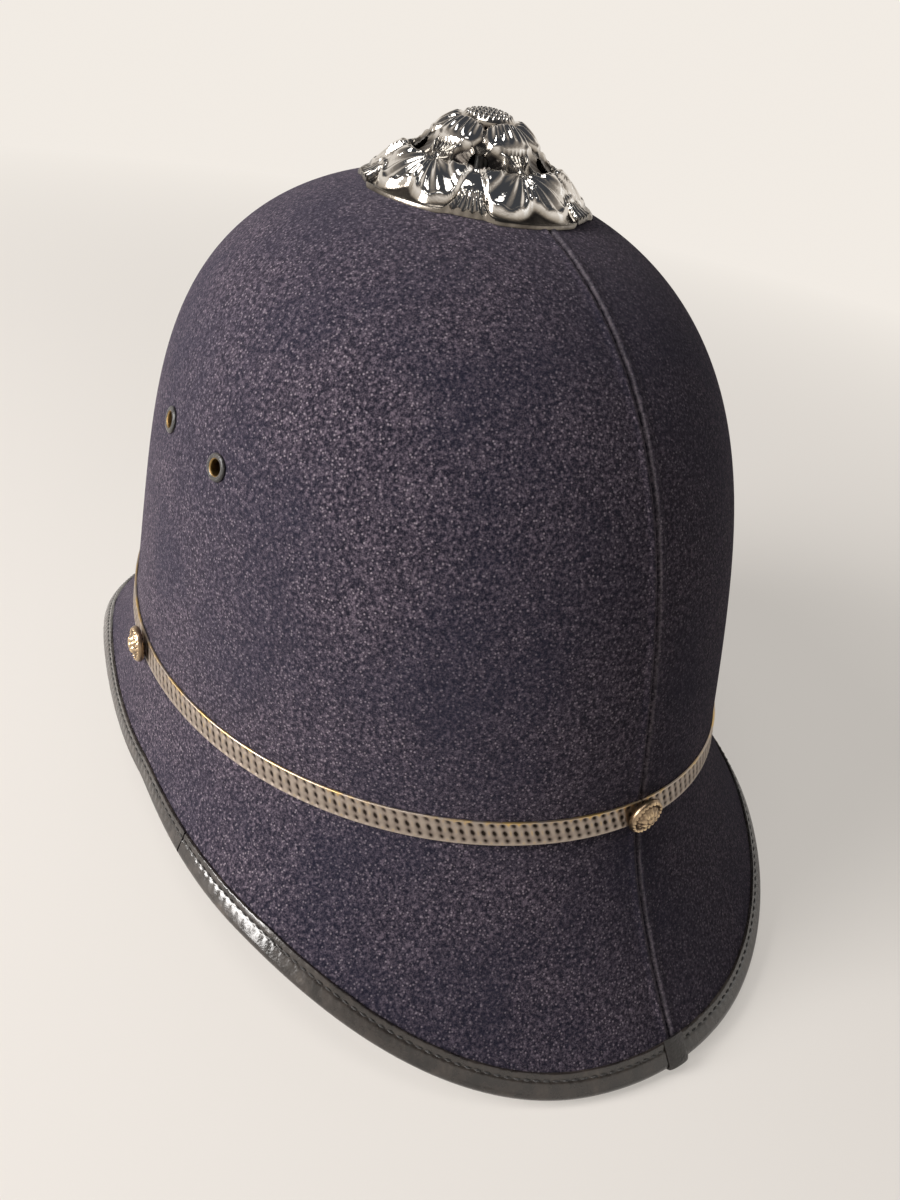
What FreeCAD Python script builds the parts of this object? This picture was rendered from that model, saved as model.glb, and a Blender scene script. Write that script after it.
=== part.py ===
import FreeCAD, Part
import math
import os
from functools import lru_cache

# A custodian police helmet: a tall cork shell covered in cloth, with a long brim at front and back.
# Millimetres. X points to the wearer's left, the front faces -Y, +Z is up.
# The origin is the middle of the outline on the table that the brim stands on.
# Angles run round the helmet from the left side, 90 degrees is the back seam, -90 the front seam.

V = FreeCAD.Vector

# Oval of the head inside the sweatband, and how far behind the pivots its middle lies
head_half_width = 80.0
head_half_length = 102.0
head_centre = 2.0

# Crown of the cloth outside, at the metal band, by its room round the head oval
room_side = 20.0
room_back = 17.0
room_front = 17.0
crown_half_width = head_half_width + room_side
crown_back = head_half_length + room_back + head_centre
crown_front = head_half_length + room_front - head_centre
crown_top = 219.0
apex_forward = 8.5
seam_angle = 90.0
side_power = 4.9
side_taper = 0.12
back_power = 4.4
back_taper = 0.28
front_power = 3.6
front_taper = 0.10

# Height of the metal band above the table
band_side = 64.0
band_back = 71.5
band_front = 75.5

# Brim: how far its cloth edge stands out from the crown, and how high that edge is
out_side = 7.0
out_back = 43.5
out_front = 47.5
out_back_power = 1.4
out_front_power = 3.0
flare_power = 1.43
edge_end = 3.9
edge_side = 23.5
edge_level_angle = 78.0
edge_raised_angle = 32.0

# Layers of the wall, from outside to inside
cloth = 1.2
cork_crown = 4.0
cork_edge = 2.2
lining = 0.8
glue = 0.15
lining_top = 0.14

# Rings of slabs that the cork shell is laid up from, brim first: how many slabs, the seams in the brim as
# levels down from the band, and the crown's seams as shares of the height from the band to the apex
slab_counts = (16, 16, 12, 12, 8, 6)
slab_brim_levels = (-0.7, -0.15)
slab_shares = (0.58, 0.81, 0.92)

# Vent at the top of the crown
vent_hole = 19.0
vent_trim = 2.5
collar_wall = 0.8
collar_flange = 23.0
collar_lip = 1.0
collar_dish = 0.5
bridge_width = 9.0
bridge_thick = 2.0
bridge_overhang = 3.0
stud_radius = 2.0
nut_across = 7.0
nut_height = 3.2
stud_proud = 2.0
washer_radius = 5.0
washer_thick = 0.8
fit_gap = 0.1

# Rose finial
rose_radius = 36.2
rose_height = 19.0
rose_mouth = 7.6
rose_sheet = 0.8
rose_petals = 5
rose_rings = 12
# Share of the rose's radius and of its height, outwards from its mouth
rose_profile = ((0.28, 0.965), (0.42, 0.83), (0.53, 0.66), (0.62, 0.53), (0.72, 0.37), (0.82, 0.22),
                (0.9, 0.105), (1.0, 0.0))
rose_turn = 50.0
petal_ring = 29.0
petal_relief = 1.4
inner_ring = 14.0
inner_relief = 1.8
relief_reach = 6.0
vent_ring = 22.0
vent_radius = 2.9
vent_lean = 1.2
button_radius = 7.0
button_height = 4.0
button_collar = 1.2
button_neck = 2.5
button_neck_gap = 2.2
button_shoulder = 1.0
button_dome = 2.6

# Vent eyelets, two on each side
eyelet_level = 0.52
eyelet_centre = 0.6
eyelet_spread = 9.0
eyelet_hole = 2.3
eyelet_barrel = 0.5
eyelet_flange = 4.1
eyelet_rise = 0.9
eyelet_edge = 0.3
eyelet_roll = 0.5
eyelet_washer = 4.8

# Metal band round the crown and its bosses
strip_width = 7.5
strip_thick = 0.8
strip_joint = 0.3
boss_radius = 6.1
boss_height = 4.2
boss_rim = 0.9
boss_edge = 0.6
boss_wall = 1.7
boss_rim_height = 2.4
boss_groove = 1.6
boss_groove_height = 1.9
boss_rosette = 2.2
boss_rosette_height = 3.4
shank_radius = 1.1
shank_end = 1.4
boss_gap = 0.8
washer_gap = 0.95
boss_washer = 2.8
side_boss_angle = -8.7

# Leather binding on the brim's edge
bind_flange = 7.0
bind_leather = 0.9
bind_slack = 0.45
bind_joint_angle = 17.0
bind_joint = 0.3
wrap_half_angle = 1.5
wrap_leather = 0.6

# Head fitting
sweat_leather = 1.2
sweat_height = 40.0
sweat_turn = 8.0
hoop_thick = 2.0
hoop_height = 34.0
hoop_bottom = 60.0
block_count = 8
block_angle = 4.0
block_height = 16.0
block_lift = 1.0
tongue_count = 8
tongue_angle = 19.0
tongue_leather = 0.8
tongue_drop = 49.0
tongue_ring = 15.0
tongue_top = crown_top - tongue_drop
lace_radius = 1.3
tongue_tip = 0.94
tongue_narrowing = 0.35

# Chin strap, stowed round the front under the sweatband
strap_level = 47.0
strap_room_side = 5.0
strap_room_front = -5.0
strap_half_width = head_half_width + strap_room_side
strap_reach = head_half_length + strap_room_front
strap_width = 14.0
strap_thick = 1.6
strap_hole = 2.05
pivot_radius = 2.0
pivot_head = 4.2
pivot_head_thick = 1.2
pivot_shoulder = 3.4
plate_side = 16.0
plate_thick = 1.0
rivet_radius = 1.4
rivet_step = 5.4
rivet_rise = 0.8
rivet_depth = 2.0
bar_angle = 50.0
bar_radius = 0.9
fold_wall = 0.9
frame_width = 20.0
frame_length = 13.0
frame_wire = 2.0
prong_wire = 1.5
prong_gap = 0.05
slot_side_gap = 0.7
slot_length = 17.0
slot_start = -5.0
slot_depth = 10.0
lap_angle = 28.0
keeper_angle = 40.0
keeper_length = 6.0
keeper_wall = 1.0
lap_start = 14.0
lap_run = 10.0
prong_end = 1.0
prong_rise = 1.2

# How finely the curved skins are sampled
turn_steps = 30
crown_steps = 18
brim_steps = 7
step_power = 2.2
halvings = 40


def half_length(turn):
    return crown_back if math.sin(turn) > 0 else crown_front


def band_height(turn):
    end = band_back if math.sin(turn) > 0 else band_front
    return band_side + (end - band_side) * math.sin(turn) ** 2


def crown_point(turn, share):
    """Point of the cloth at a share of the height from the band to the apex."""
    rest = min(share, 1.0)
    side = math.sqrt(1 - rest ** side_power) * (1 - side_taper * rest)
    back = math.sqrt(1 - rest ** back_power) * (1 - back_taper * rest)
    front = math.sqrt(1 - rest ** front_power) * (1 - front_taper * rest)
    long_share = back if math.sin(turn) > 0 else front
    low = band_height(turn)
    return V(crown_half_width * side * math.cos(turn),
             half_length(turn) * long_share * math.sin(turn) - apex_forward * rest ** 2,
             low + (crown_top - low) * rest)


def plan_normal(turn):
    flat = V(math.cos(turn) / crown_half_width, math.sin(turn) / half_length(turn), 0)
    return flat.normalize()


def brim_out(turn):
    lean = abs(math.sin(turn))
    if math.sin(turn) > 0:
        return out_side + (out_back - out_side) * lean ** out_back_power
    return out_side + (out_front - out_side) * lean ** out_front_power


def edge_height(turn):
    """The brim's edge is level over the front and back and rises smoothly to the sides."""
    from_side = math.degrees(math.asin(min(1.0, abs(math.sin(turn)))))
    rise = (edge_level_angle - from_side) / (edge_level_angle - edge_raised_angle)
    rise = min(1.0, max(0.0, rise))
    return edge_end + (edge_side - edge_end) * rise * rise * (3 - 2 * rise)


def brim_point(turn, share):
    start = crown_point(turn, 0)
    out = plan_normal(turn) * (brim_out(turn) * share ** flare_power)
    drop = (band_height(turn) - edge_height(turn)) * share
    return start + out - V(0, 0, drop)


def level_of_share(share):
    return 1 - (1 - share) ** (1 / step_power)


def share_of_level(level):
    return 1 - (1 - level) ** step_power


def skin_point(turn, level):
    """Cloth outside: level -1 is the brim's edge, 0 the band, towards 1 the apex."""
    if level < 0:
        return brim_point(turn, -level)
    return crown_point(turn, share_of_level(level))


@lru_cache(maxsize=None)
def skin_normal(turn, level):
    step = 0.004
    across = skin_point(turn + step, level) - skin_point(turn - step, level)
    high = min(level + step, 0.995)
    low = max(level - step, -1.0)
    along = skin_point(turn, high) - skin_point(turn, low)
    return across.cross(along).normalize()


def layer_point(turn, level, lift):
    point = skin_point(turn, level) + skin_normal(turn, level) * lift
    if abs(math.cos(turn)) < 1e-9:
        point.x = 0
    return point


def cork_wall(level):
    return cork_crown + (cork_edge - cork_crown) * max(0.0, -level)


def cork_outside(level):
    return -cloth - glue


def cork_inside(level):
    return cork_outside(level) - cork_wall(level)


def lining_outside(level):
    return cork_inside(level) - glue


def lining_inside(level):
    return lining_outside(level) - lining


def wall_at_edge():
    return -lining_inside(-1.0)


@lru_cache(maxsize=None)
def vent_level(turn):
    """Level at which the skin ends, just inside the round vent hole that is cut through it."""
    low, high = 0.5, 0.995
    for _ in range(halvings):
        middle = (low + high) / 2
        point = skin_point(turn, middle)
        centre = -apex_forward * share_of_level(middle) ** 2
        if math.hypot(point.x, point.y - centre) > vent_hole - vent_trim:
            low = middle
        else:
            high = middle
    return low


def skin_levels(turn):
    return spaced(-1.0, 0.0, brim_steps) + spaced(0.0, vent_level(turn), crown_steps)[1:]


def spaced(start, end, count):
    return [start + (end - start) * i / count for i in range(count + 1)]


def closed_solid(faces):
    shell = Part.Shell(faces)
    shell.sewShape()
    if shell.ShapeType != "Shell":
        shell = shell.Shells[0]
    solid = Part.Solid(shell)
    if solid.Volume < 0:
        solid.reverse()
    return solid


def thin_solid(outer, inner, closed):
    """Solid between two skins, each given as rows of points that follow each other round the helmet."""
    outer_skin = Part.BSplineSurface()
    outer_skin.interpolate(outer)
    inner_skin = Part.BSplineSurface()
    inner_skin.interpolate(inner)
    outer_bounds = outer_skin.bounds()
    inner_bounds = inner_skin.bounds()
    faces = [outer_skin.toShape(), inner_skin.toShape()]
    for i in (2, 3):
        faces.append(ruled(outer_skin.vIso(outer_bounds[i]), inner_skin.vIso(inner_bounds[i])))
    if not closed:
        for i in (0, 1):
            faces.append(ruled(outer_skin.uIso(outer_bounds[i]), inner_skin.uIso(inner_bounds[i])))
    return closed_solid(faces)


def ruled(first, second):
    return Part.makeRuledSurface(first.toShape(), second.toShape())


def rail_solid(sections, closed):
    """Solid whose cross section is a polygon carried along rails through the sections."""
    corners = len(sections[0])
    rails = []
    for i in range(corners):
        rail = Part.BSplineCurve()
        rail.interpolate(Points=[section[i] for section in sections], PeriodicFlag=closed)
        rails.append(rail)
    faces = [ruled(rails[i], rails[(i + 1) % corners]) for i in range(corners)]
    if not closed:
        faces += [end_face(sections[0]), end_face(sections[-1])]
    return closed_solid(faces)


def end_face(section):
    """Flat end, or a ruled one where four corners are not quite in a plane."""
    if len(section) == 4:
        first = Part.makeLine(section[0], section[1])
        second = Part.makeLine(section[3], section[2])
        return Part.makeRuledSurface(first, second)
    return Part.Face(Part.makePolygon(section + section[:1]))


def turned(shape, origin, direction):
    """Carry a shape made along +Z to a point and a direction."""
    shape = shape.copy()
    shape.Placement = FreeCAD.Placement(origin, FreeCAD.Rotation(V(0, 0, 1), direction))
    return shape


def revolved(outline):
    """Solid of revolution about +Z from radius and height pairs."""
    points = [V(radius, 0, height) for radius, height in outline]
    wire = Part.makePolygon(points + points[:1])
    return Part.Face(wire).revolve(V(0, 0, 0), V(0, 0, 1), 360)


def washer(inner, outer):
    """Flat ring that hangs down from its seat at height 0."""
    return revolved([(inner, 0), (outer, 0), (outer, -washer_thick), (inner, -washer_thick)])


def mirrored(shape):
    return shape.mirror(V(0, 0, 0), V(1, 0, 0))


def skin_frame(turn, level):
    return skin_point(turn, level), skin_normal(turn, level)


def eyelet_frames():
    level = level_of_share(eyelet_level)
    turns = [math.radians(eyelet_centre + side * eyelet_spread) for side in (-1, 1)]
    return [skin_frame(turn, level) for turn in turns]


def mirrored_frame(frame):
    point, normal = frame
    return V(-point.x, point.y, point.z), V(-normal.x, normal.y, normal.z)


def strip_section(turn):
    """Cross section of the metal band, lying on the cloth above and below the bend."""
    brim_share = strip_width / 2 / (band_height(turn) - edge_height(turn))
    crown_share = strip_width / 2 / (crown_top - band_height(turn))
    low = skin_point(turn, -brim_share)
    high = skin_point(turn, level_of_share(crown_share))
    out = plan_normal(turn)
    near = glue + fit_gap
    far = near + strip_thick
    return [low + out * near, low + out * far, high + out * far, high + out * near]


def boss_frame(turn):
    section = strip_section(turn)
    middle = (section[1] + section[2]) * 0.5
    return middle + plan_normal(turn) * boss_gap, plan_normal(turn)


def boss_turns():
    side = math.radians(side_boss_angle)
    return {"rear_boss": math.radians(seam_angle), "left_boss": side, "right_boss": math.pi - side}


def drill_at(frame, radius):
    point, normal = frame
    reach = 4 * (cork_crown + cloth)
    return turned(Part.makeCylinder(radius, 2 * reach), point - normal * reach, normal)


def cut_holes(shape, frames, radius):
    for frame in frames:
        shape = shape.cut(drill_at(frame, radius))
    return shape


def wall_drills(left, right):
    """Drills for the eyelets on the named sides, the bosses and the vent."""
    frames = []
    if left:
        frames += eyelet_frames()
    if right:
        frames += [mirrored_frame(frame) for frame in eyelet_frames()]
    drills = [drill_at(frame, eyelet_hole + eyelet_barrel + fit_gap) for frame in frames]
    drills += [drill_at(boss_frame(turn), shank_radius + fit_gap) for turn in boss_turns().values()]
    vent = Part.makeCylinder(vent_hole, crown_top, vent_seat()[0] + V(0, 0, crown_top / 2))
    return drills + [vent]


def wall_holes(shape, left, right):
    for drill in wall_drills(left, right):
        shape = shape.cut(drill)
    return shape


def skin_rows(turns, lift):
    return [[layer_point(turn, level, lift(level)) for level in skin_levels(turn)] for turn in turns]


def closed_rows(rows):
    """Rows that end on the same points as they start."""
    return rows[:-1] + rows[:1]


def whole_turns():
    return [math.radians(a) for a in spaced(-90, 270, 2 * turn_steps)]


def slab_rings(turn):
    """Levels of each ring of cork slabs at one turn, from the brim's edge up to the vent."""
    brim, middle = slab_brim_levels
    crown = [level_of_share(share) for share in slab_shares]
    return [spaced(-1.0, brim, 3), spaced(brim, middle, 4),
            [middle, middle / 2] + spaced(0.0, crown[0], 7),
            spaced(crown[0], crown[1], 5), spaced(crown[1], crown[2], 4),
            spaced(crown[2], vent_level(turn), 4)]


def inset(values, gap):
    """The same run of values with its two ends drawn in."""
    return [values[0] + gap] + values[1:-1] + [values[-1] - gap]


def slab_speed(turn, level, step):
    """Millimetres that the cork moves for a change of one in the turn and in the level."""
    across = skin_point(turn + step, level) - skin_point(turn - step, level)
    along = skin_point(turn, level + step) - skin_point(turn, level - step)
    return across.Length / (2 * step), along.Length / (2 * step)


def cork_slab(ring, start, end):
    """One slab of a ring between two turns, with half a line of glue left round it."""
    levels = slab_rings((start + end) / 2)[ring]
    across, along = slab_speed((start + end) / 2, levels[len(levels) // 2], 0.01)
    turns = inset(spaced(start, end, 4), glue / 2 / across)
    rows = [inset(slab_rings(turn)[ring], glue / 2 / along) for turn in turns]
    places = [[(turn, level) for level in row] for turn, row in zip(turns, rows)]
    outer = [[layer_point(turn, level, cork_outside(level)) for turn, level in row] for row in places]
    inner = [[layer_point(turn, level, cork_inside(level)) for turn, level in row] for row in places]
    return thin_solid(outer, inner, False)


def cork_shell():
    """Cork slabs, glued edge to edge in rings, with the holes that pass through them."""
    drills = wall_drills(True, True) + rivet_drills(rivet_radius + fit_gap / 2)
    slabs = []
    for ring, count in enumerate(slab_counts):
        seams = [2 * math.pi * (i + 0.5) / count for i in range(count + 1)]
        for start, end in zip(seams, seams[1:]):
            slab = cork_slab(ring, start, end)
            for drill in drills:
                if slab.BoundBox.intersect(drill.BoundBox):
                    slab = slab.cut(drill)
            slabs += slab.Solids
    return Part.makeCompound(slabs)


def cover_panel():
    """Left half of the cloth, from the vent to the brim's edge."""
    turns = [math.radians(a) for a in spaced(-90, 90, turn_steps)]
    outer = skin_rows(turns, lambda level: 0.0)
    inner = skin_rows(turns, lambda level: -cloth)
    for rows in (outer, inner):
        for row in (rows[0], rows[-1]):
            for point in row:
                point.x = glue / 2
    return wall_holes(thin_solid(outer, inner, False), True, False)


def under_brim_lining():
    """Thin leather under the brim, from its edge to just below the metal band."""
    levels = spaced(-1.0, -lining_top, brim_steps)
    outer = []
    inner = []
    for turn in whole_turns():
        outer.append([layer_point(turn, level, lining_outside(level)) for level in levels])
        inner.append([layer_point(turn, level, lining_inside(level)) for level in levels])
    return thin_solid(closed_rows(outer), closed_rows(inner), True)


def bind_section(turn, extra, leather, shorten):
    """U-shaped cross section of the binding round the brim's edge."""
    edge = skin_point(turn, -1.0)
    normal = skin_normal(turn, -1.0)
    along = (skin_point(turn, -1.0) - skin_point(turn, -0.97)).normalize()
    along = (along - normal * along.dot(normal)).normalize()
    top = glue + extra
    low = -wall_at_edge() - bind_slack - extra
    rise = bind_flange - shorten
    sides = [(-rise, top), (-rise, top + leather), (top, top + leather)]
    corner = leather * 0.7
    lip = [(top + corner, top + corner), (top + leather, top - leather * 0.4),
           (top + leather, low + leather * 0.4), (top + corner, low - corner)]
    under = [(top, low - leather), (-rise, low - leather), (-rise, low), (top, low), (top, top)]
    return [edge + along * a + normal * b for a, b in sides + lip + under]


def binding(start, end, extra, leather, shorten):
    count = max(4, int((end - start) / 5))
    turns = [math.radians(a) for a in spaced(start, end, count)]
    strip = rail_solid([bind_section(turn, extra, leather, shorten) for turn in turns], False)
    return strip.cut(table_block())


def table_block():
    reach = 2 * (crown_back + out_back)
    return Part.makeBox(2 * reach, 2 * reach, reach, V(-reach, -reach, -reach))


def binding_front():
    gap = bind_joint / 2
    return binding(-180 - bind_joint_angle + gap, bind_joint_angle - gap, 0, bind_leather, 0)


def binding_rear_left():
    return binding(bind_joint_angle + bind_joint / 2, seam_angle - bind_joint / 4, 0, bind_leather, 0)


def wrap_section(turn):
    """Cross section of the tab that covers the rear joint, on the outer side only."""
    outer = bind_section(turn, 0, bind_leather, -wrap_leather)[1:5]
    out = skin_normal(turn, -1.0)
    away = (outer[2] - outer[1]).normalize() + out
    ways = [out, out, away, away]
    near = [point + way * (glue / 2) for point, way in zip(outer, ways)]
    far = [point + way * wrap_leather for point, way in zip(outer, ways)]
    return near + far[::-1]


def binding_wrap():
    turns = [math.radians(a) for a in spaced(seam_angle - wrap_half_angle, seam_angle + wrap_half_angle, 4)]
    return rail_solid([wrap_section(turn) for turn in turns], False)


def hat_band():
    start = seam_angle + strip_joint / 2
    turns = [math.radians(a) for a in spaced(start, start + 360 - strip_joint, 2 * turn_steps)]
    strip = rail_solid([strip_section(turn) for turn in turns], False)
    frames = [boss_frame(turn) for turn in boss_turns().values()]
    return cut_holes(strip, frames, shank_radius + fit_gap)


def boss(turn):
    """Domed stud with a raised rim and a shank through band, cloth and cork."""
    origin, out = boss_frame(turn)
    depth = wall_depth(turn) + washer_thick + shank_end
    groove = boss_radius - boss_groove
    outline = [(0, -depth), (shank_radius, -depth), (shank_radius, 0), (boss_radius - boss_edge, 0),
               (boss_radius, boss_edge), (boss_radius, boss_wall), (boss_radius - boss_rim, boss_rim_height),
               (groove, boss_groove_height), (groove - boss_rim, boss_rim_height),
               (boss_rosette, boss_rosette_height), (boss_rosette - boss_edge, boss_height),
               (0, boss_height)]
    return turned(revolved(outline), origin, out)


def wall_depth(turn):
    """Distance from the boss's seat to the cork's inner face."""
    origin, out = boss_frame(turn)
    inside = layer_point(turn, 0.0, cork_inside(0.0))
    return (origin - inside).dot(out)


def boss_washers():
    rings = []
    for turn in boss_turns().values():
        origin, out = boss_frame(turn)
        seat = wall_depth(turn) + washer_gap
        rings.append(turned(washer(shank_radius + fit_gap, boss_washer), origin - out * seat, out))
    return Part.makeCompound(rings)


def eyelet(frame):
    """Metal eyelet: a rolled flange outside and a barrel through cloth and cork."""
    point, normal = frame
    depth = -cork_inside(0.1) + washer_thick
    wall = eyelet_hole + eyelet_barrel
    outline = [(eyelet_hole, -depth), (wall, -depth), (wall, fit_gap),
               (eyelet_flange - eyelet_edge, fit_gap), (eyelet_flange, fit_gap + eyelet_edge),
               (eyelet_flange - eyelet_roll, eyelet_rise), (wall, eyelet_rise + fit_gap),
               (eyelet_hole, eyelet_rise - eyelet_roll)]
    return turned(revolved(outline), point, normal)


def eyelet_washer_ring(frame):
    point, normal = frame
    seat = -cork_inside(0.1) + 2 * fit_gap
    inner = eyelet_hole + eyelet_barrel + fit_gap
    return turned(washer(inner, eyelet_washer), point - normal * seat, normal)


def vent_eyelets(mirror):
    pair = Part.makeCompound([eyelet(frame) for frame in eyelet_frames()])
    return mirrored(pair) if mirror else pair


def eyelet_washers():
    rings = [eyelet_washer_ring(frame) for frame in eyelet_frames()]
    return Part.makeCompound(rings + [mirrored(ring) for ring in rings])


@lru_cache(maxsize=None)
def vent_seat():
    """Height of the cloth at the vent's rim and the vent's centre."""
    turns = whole_turns()
    top = max(skin_point(turn, vent_level(turn)).z for turn in turns)
    low = min(skin_point(turn, vent_level(turn)).z for turn in turns)
    point = [skin_point(turn, vent_level(turn)) for turn in (math.pi / 2, -math.pi / 2)]
    return V(0, (point[0].y + point[1].y) / 2, 0), top, low


def vent_collar():
    """Metal tube through the crown with a flange on the cloth and a lip under the cork."""
    centre, top, _ = vent_seat()
    outside = vent_hole - fit_gap * 3
    inside = outside - collar_wall
    bottom = collar_bottom()
    seat = top + fit_gap
    outline = [(inside, bottom), (outside, bottom), (outside, seat), (collar_flange, seat - collar_dish),
               (collar_flange, seat - collar_dish + collar_wall), (outside, seat + collar_wall),
               (inside, seat + collar_wall)]
    tube = revolved(outline)
    tube.translate(centre)
    return tube


def collar_bottom():
    return vent_seat()[2] + cork_inside(1.0) - collar_lip


def vent_bridge():
    """Cross of flat metal under the collar that carries the finial's stud."""
    centre, _, _ = vent_seat()
    reach = vent_hole + bridge_overhang
    level = collar_bottom() - fit_gap - bridge_thick
    arms = Part.makeBox(2 * reach, bridge_width, bridge_thick, V(-reach, -bridge_width / 2, level))
    other = Part.makeBox(bridge_width, 2 * reach, bridge_thick, V(-bridge_width / 2, -reach, level))
    cross = arms.fuse(other).removeSplitter()
    hole = Part.makeCylinder(stud_radius + fit_gap, 3 * bridge_thick, V(0, 0, level - bridge_thick))
    cross = cross.cut(hole)
    cross.translate(centre)
    return cross


def rose_base(radius):
    """Height of the plain rose above its rim at a distance from its axis."""
    table = [(rose_mouth, 1.0)] + [(share * rose_radius, rise) for share, rise in rose_profile]
    for (near, high), (far, low) in zip(table, table[1:]):
        if radius <= far:
            share = (radius - near) / (far - near)
            return rose_height * (high + (low - high) * share)
    return 0.0


def rose_relief(radius, turn):
    petals = math.cos(rose_petals * (turn - math.radians(rose_turn)))
    outer = -petal_relief * petals * math.exp(-((radius - petal_ring) / relief_reach * 2) ** 2)
    inner = inner_relief * petals * math.exp(-((radius - inner_ring) / relief_reach * 2) ** 2)
    return outer + inner


@lru_cache(maxsize=None)
def rose_seat(turn):
    """Height of the cloth under the rose's rim in one direction."""
    centre = vent_seat()[0]
    spot = centre + V(rose_radius * math.cos(turn), rose_radius * math.sin(turn), 0)
    low, high = 0.3, 0.99
    around = math.atan2((spot.y - centre.y) / half_length(turn), spot.x / crown_half_width)
    for _ in range(halvings):
        middle = (low + high) / 2
        point = skin_point(around, middle)
        if math.hypot(point.x, point.y - centre.y) > rose_radius:
            low = middle
        else:
            high = middle
    return skin_point(around, low).z


def rose_grid(drop):
    rows = []
    centre = vent_seat()[0]
    for turn in whole_turns():
        seat = rose_seat(turn) + glue + rose_sheet
        row = []
        for radius in spaced(rose_mouth, rose_radius, rose_rings):
            share = (radius - rose_mouth) / (rose_radius - rose_mouth)
            level = rose_level() * (1 - share ** 2) + seat * share ** 2
            height = level + rose_base(radius) + rose_relief(radius, turn) - drop
            row.append(centre + V(radius * math.cos(turn), radius * math.sin(turn), height))
        rows.append(row)
    return closed_rows(rows)


@lru_cache(maxsize=None)
def rose_level():
    """Mean height of the rose's rim."""
    turns = [math.radians(a) for a in range(0, 360, 30)]
    return sum(rose_seat(turn) for turn in turns) / len(turns) + glue + rose_sheet


def rose_finial():
    """Pierced sheet rose with five outer and five inner petals in relief."""
    rose = thin_solid(rose_grid(0), rose_grid(rose_sheet), True)
    centre = vent_seat()[0]
    for i in range(rose_petals):
        turn = math.radians(rose_turn + 360 * i / rose_petals)
        out = V(math.cos(turn), math.sin(turn), vent_lean).normalize()
        spot = centre + V(vent_ring * math.cos(turn), vent_ring * math.sin(turn),
                          rose_level() + rose_base(vent_ring))
        drill = Part.makeCylinder(vent_radius, 2 * relief_reach)
        rose = rose.cut(turned(drill, spot - out * relief_reach, out))
    return rose


def rose_button():
    """Beaded centre of the rose, the head of the stud that holds it."""
    level = rose_level() + rose_base(rose_mouth) + 3 * fit_gap
    neck = rose_mouth - button_neck_gap
    bore = stud_radius + fit_gap
    rim = button_radius + button_collar
    outline = [(bore, -button_neck), (neck, -button_neck), (neck, 0), (rim, 0), (rim, button_shoulder),
               (button_radius, button_dome), (button_radius * 0.8, button_height * 0.925),
               (button_radius * 0.5, button_height * 0.95), (0, button_height), (0, button_collar),
               (bore, button_collar)]
    button = revolved(outline)
    button.translate(vent_seat()[0] + V(0, 0, level))
    return button


def finial_stud():
    top = rose_level() + rose_base(rose_mouth) + button_collar
    bottom = collar_bottom() - fit_gap - bridge_thick - washer_thick - nut_height - stud_proud
    stud = Part.makeCylinder(stud_radius, top - bottom, V(0, 0, bottom))
    stud.translate(vent_seat()[0])
    return stud


def finial_washer():
    level = collar_bottom() - 2 * fit_gap - bridge_thick
    inner = stud_radius + fit_gap
    ring = washer(inner, washer_radius)
    ring.translate(vent_seat()[0] + V(0, 0, level))
    return ring


def finial_nut():
    level = collar_bottom() - 3 * fit_gap - bridge_thick - washer_thick
    radius = nut_across / math.sqrt(3)
    corners = [V(radius * math.cos(math.radians(a)), radius * math.sin(math.radians(a)), 0)
               for a in range(0, 361, 60)]
    body = Part.Face(Part.makePolygon(corners)).extrude(V(0, 0, -nut_height))
    body = body.cut(Part.makeCylinder(stud_radius + fit_gap / 2, 3 * nut_height, V(0, 0, -2 * nut_height)))
    body.translate(vent_seat()[0] + V(0, 0, level))
    return body


def head_point(turn, gap, level):
    return V((head_half_width + gap) * math.cos(turn),
             head_centre + (head_half_length + gap) * math.sin(turn), level)


def ring_on_head(corners):
    """Closed ring round the head from pairs of distance off the head and height."""
    sections = [[head_point(turn, gap, level) for gap, level in corners] for turn in whole_turns()[:-1]]
    return rail_solid(sections, True)


def sweatband():
    """Leather band, turned up over the lower edge of the hoop."""
    top = hoop_bottom - sweat_leather - glue + sweat_height
    low = hoop_bottom - glue
    near = sweat_leather
    far = near + 2 * glue + hoop_thick
    return ring_on_head([(0, top), (0, low - sweat_leather), (far + sweat_leather, low - sweat_leather),
                         (far + sweat_leather, low + sweat_turn), (far, low + sweat_turn), (far, low),
                         (near, low), (near, top)])


def hoop_gap():
    return sweat_leather + glue


def headband_hoop():
    near = hoop_gap()
    far = near + hoop_thick
    top = hoop_bottom + hoop_height
    return ring_on_head([(near, hoop_bottom), (far, hoop_bottom), (far, top), (near, top)])


def crown_inside(turn, level):
    share = (level - band_height(turn)) / (crown_top - band_height(turn))
    return layer_point(turn, level_of_share(max(0.0, share)), cork_inside(0.0) - 3 * glue)


def spacer_blocks():
    """Pads that hold the hoop away from the shell and let air through."""
    blocks = []
    near = hoop_gap() + hoop_thick + glue
    low = max(band_side, band_back, band_front) + block_lift
    for i in range(block_count):
        middle = 360 * (i + 0.5) / block_count
        sections = []
        for angle in spaced(middle - block_angle, middle + block_angle, 4):
            turn = math.radians(angle)
            outer = [crown_inside(turn, low), crown_inside(turn, low + block_height)]
            inner = [head_point(turn, near, point.z) for point in outer]
            sections.append([inner[0], outer[0], outer[1], inner[1]])
        blocks.append(rail_solid(sections, False))
    return Part.makeCompound(blocks)


def tongue_point(turn, rise, lift):
    """Domed crown lining from the hoop's top to the ring that the lace draws together."""
    start = hoop_bottom + hoop_height + glue
    swing = rise * math.pi / 2
    far_x = head_half_width + hoop_gap() + hoop_thick
    far_y = far_x - head_half_width + head_half_length
    shrink = math.cos(swing)
    wide = tongue_ring + (far_x - tongue_ring) * shrink + lift
    long = tongue_ring + (far_y - tongue_ring) * shrink + lift
    return V(wide * math.cos(turn), head_centre + long * math.sin(turn),
             start + (tongue_top - start) * math.sin(swing) + lift * rise)


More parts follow.
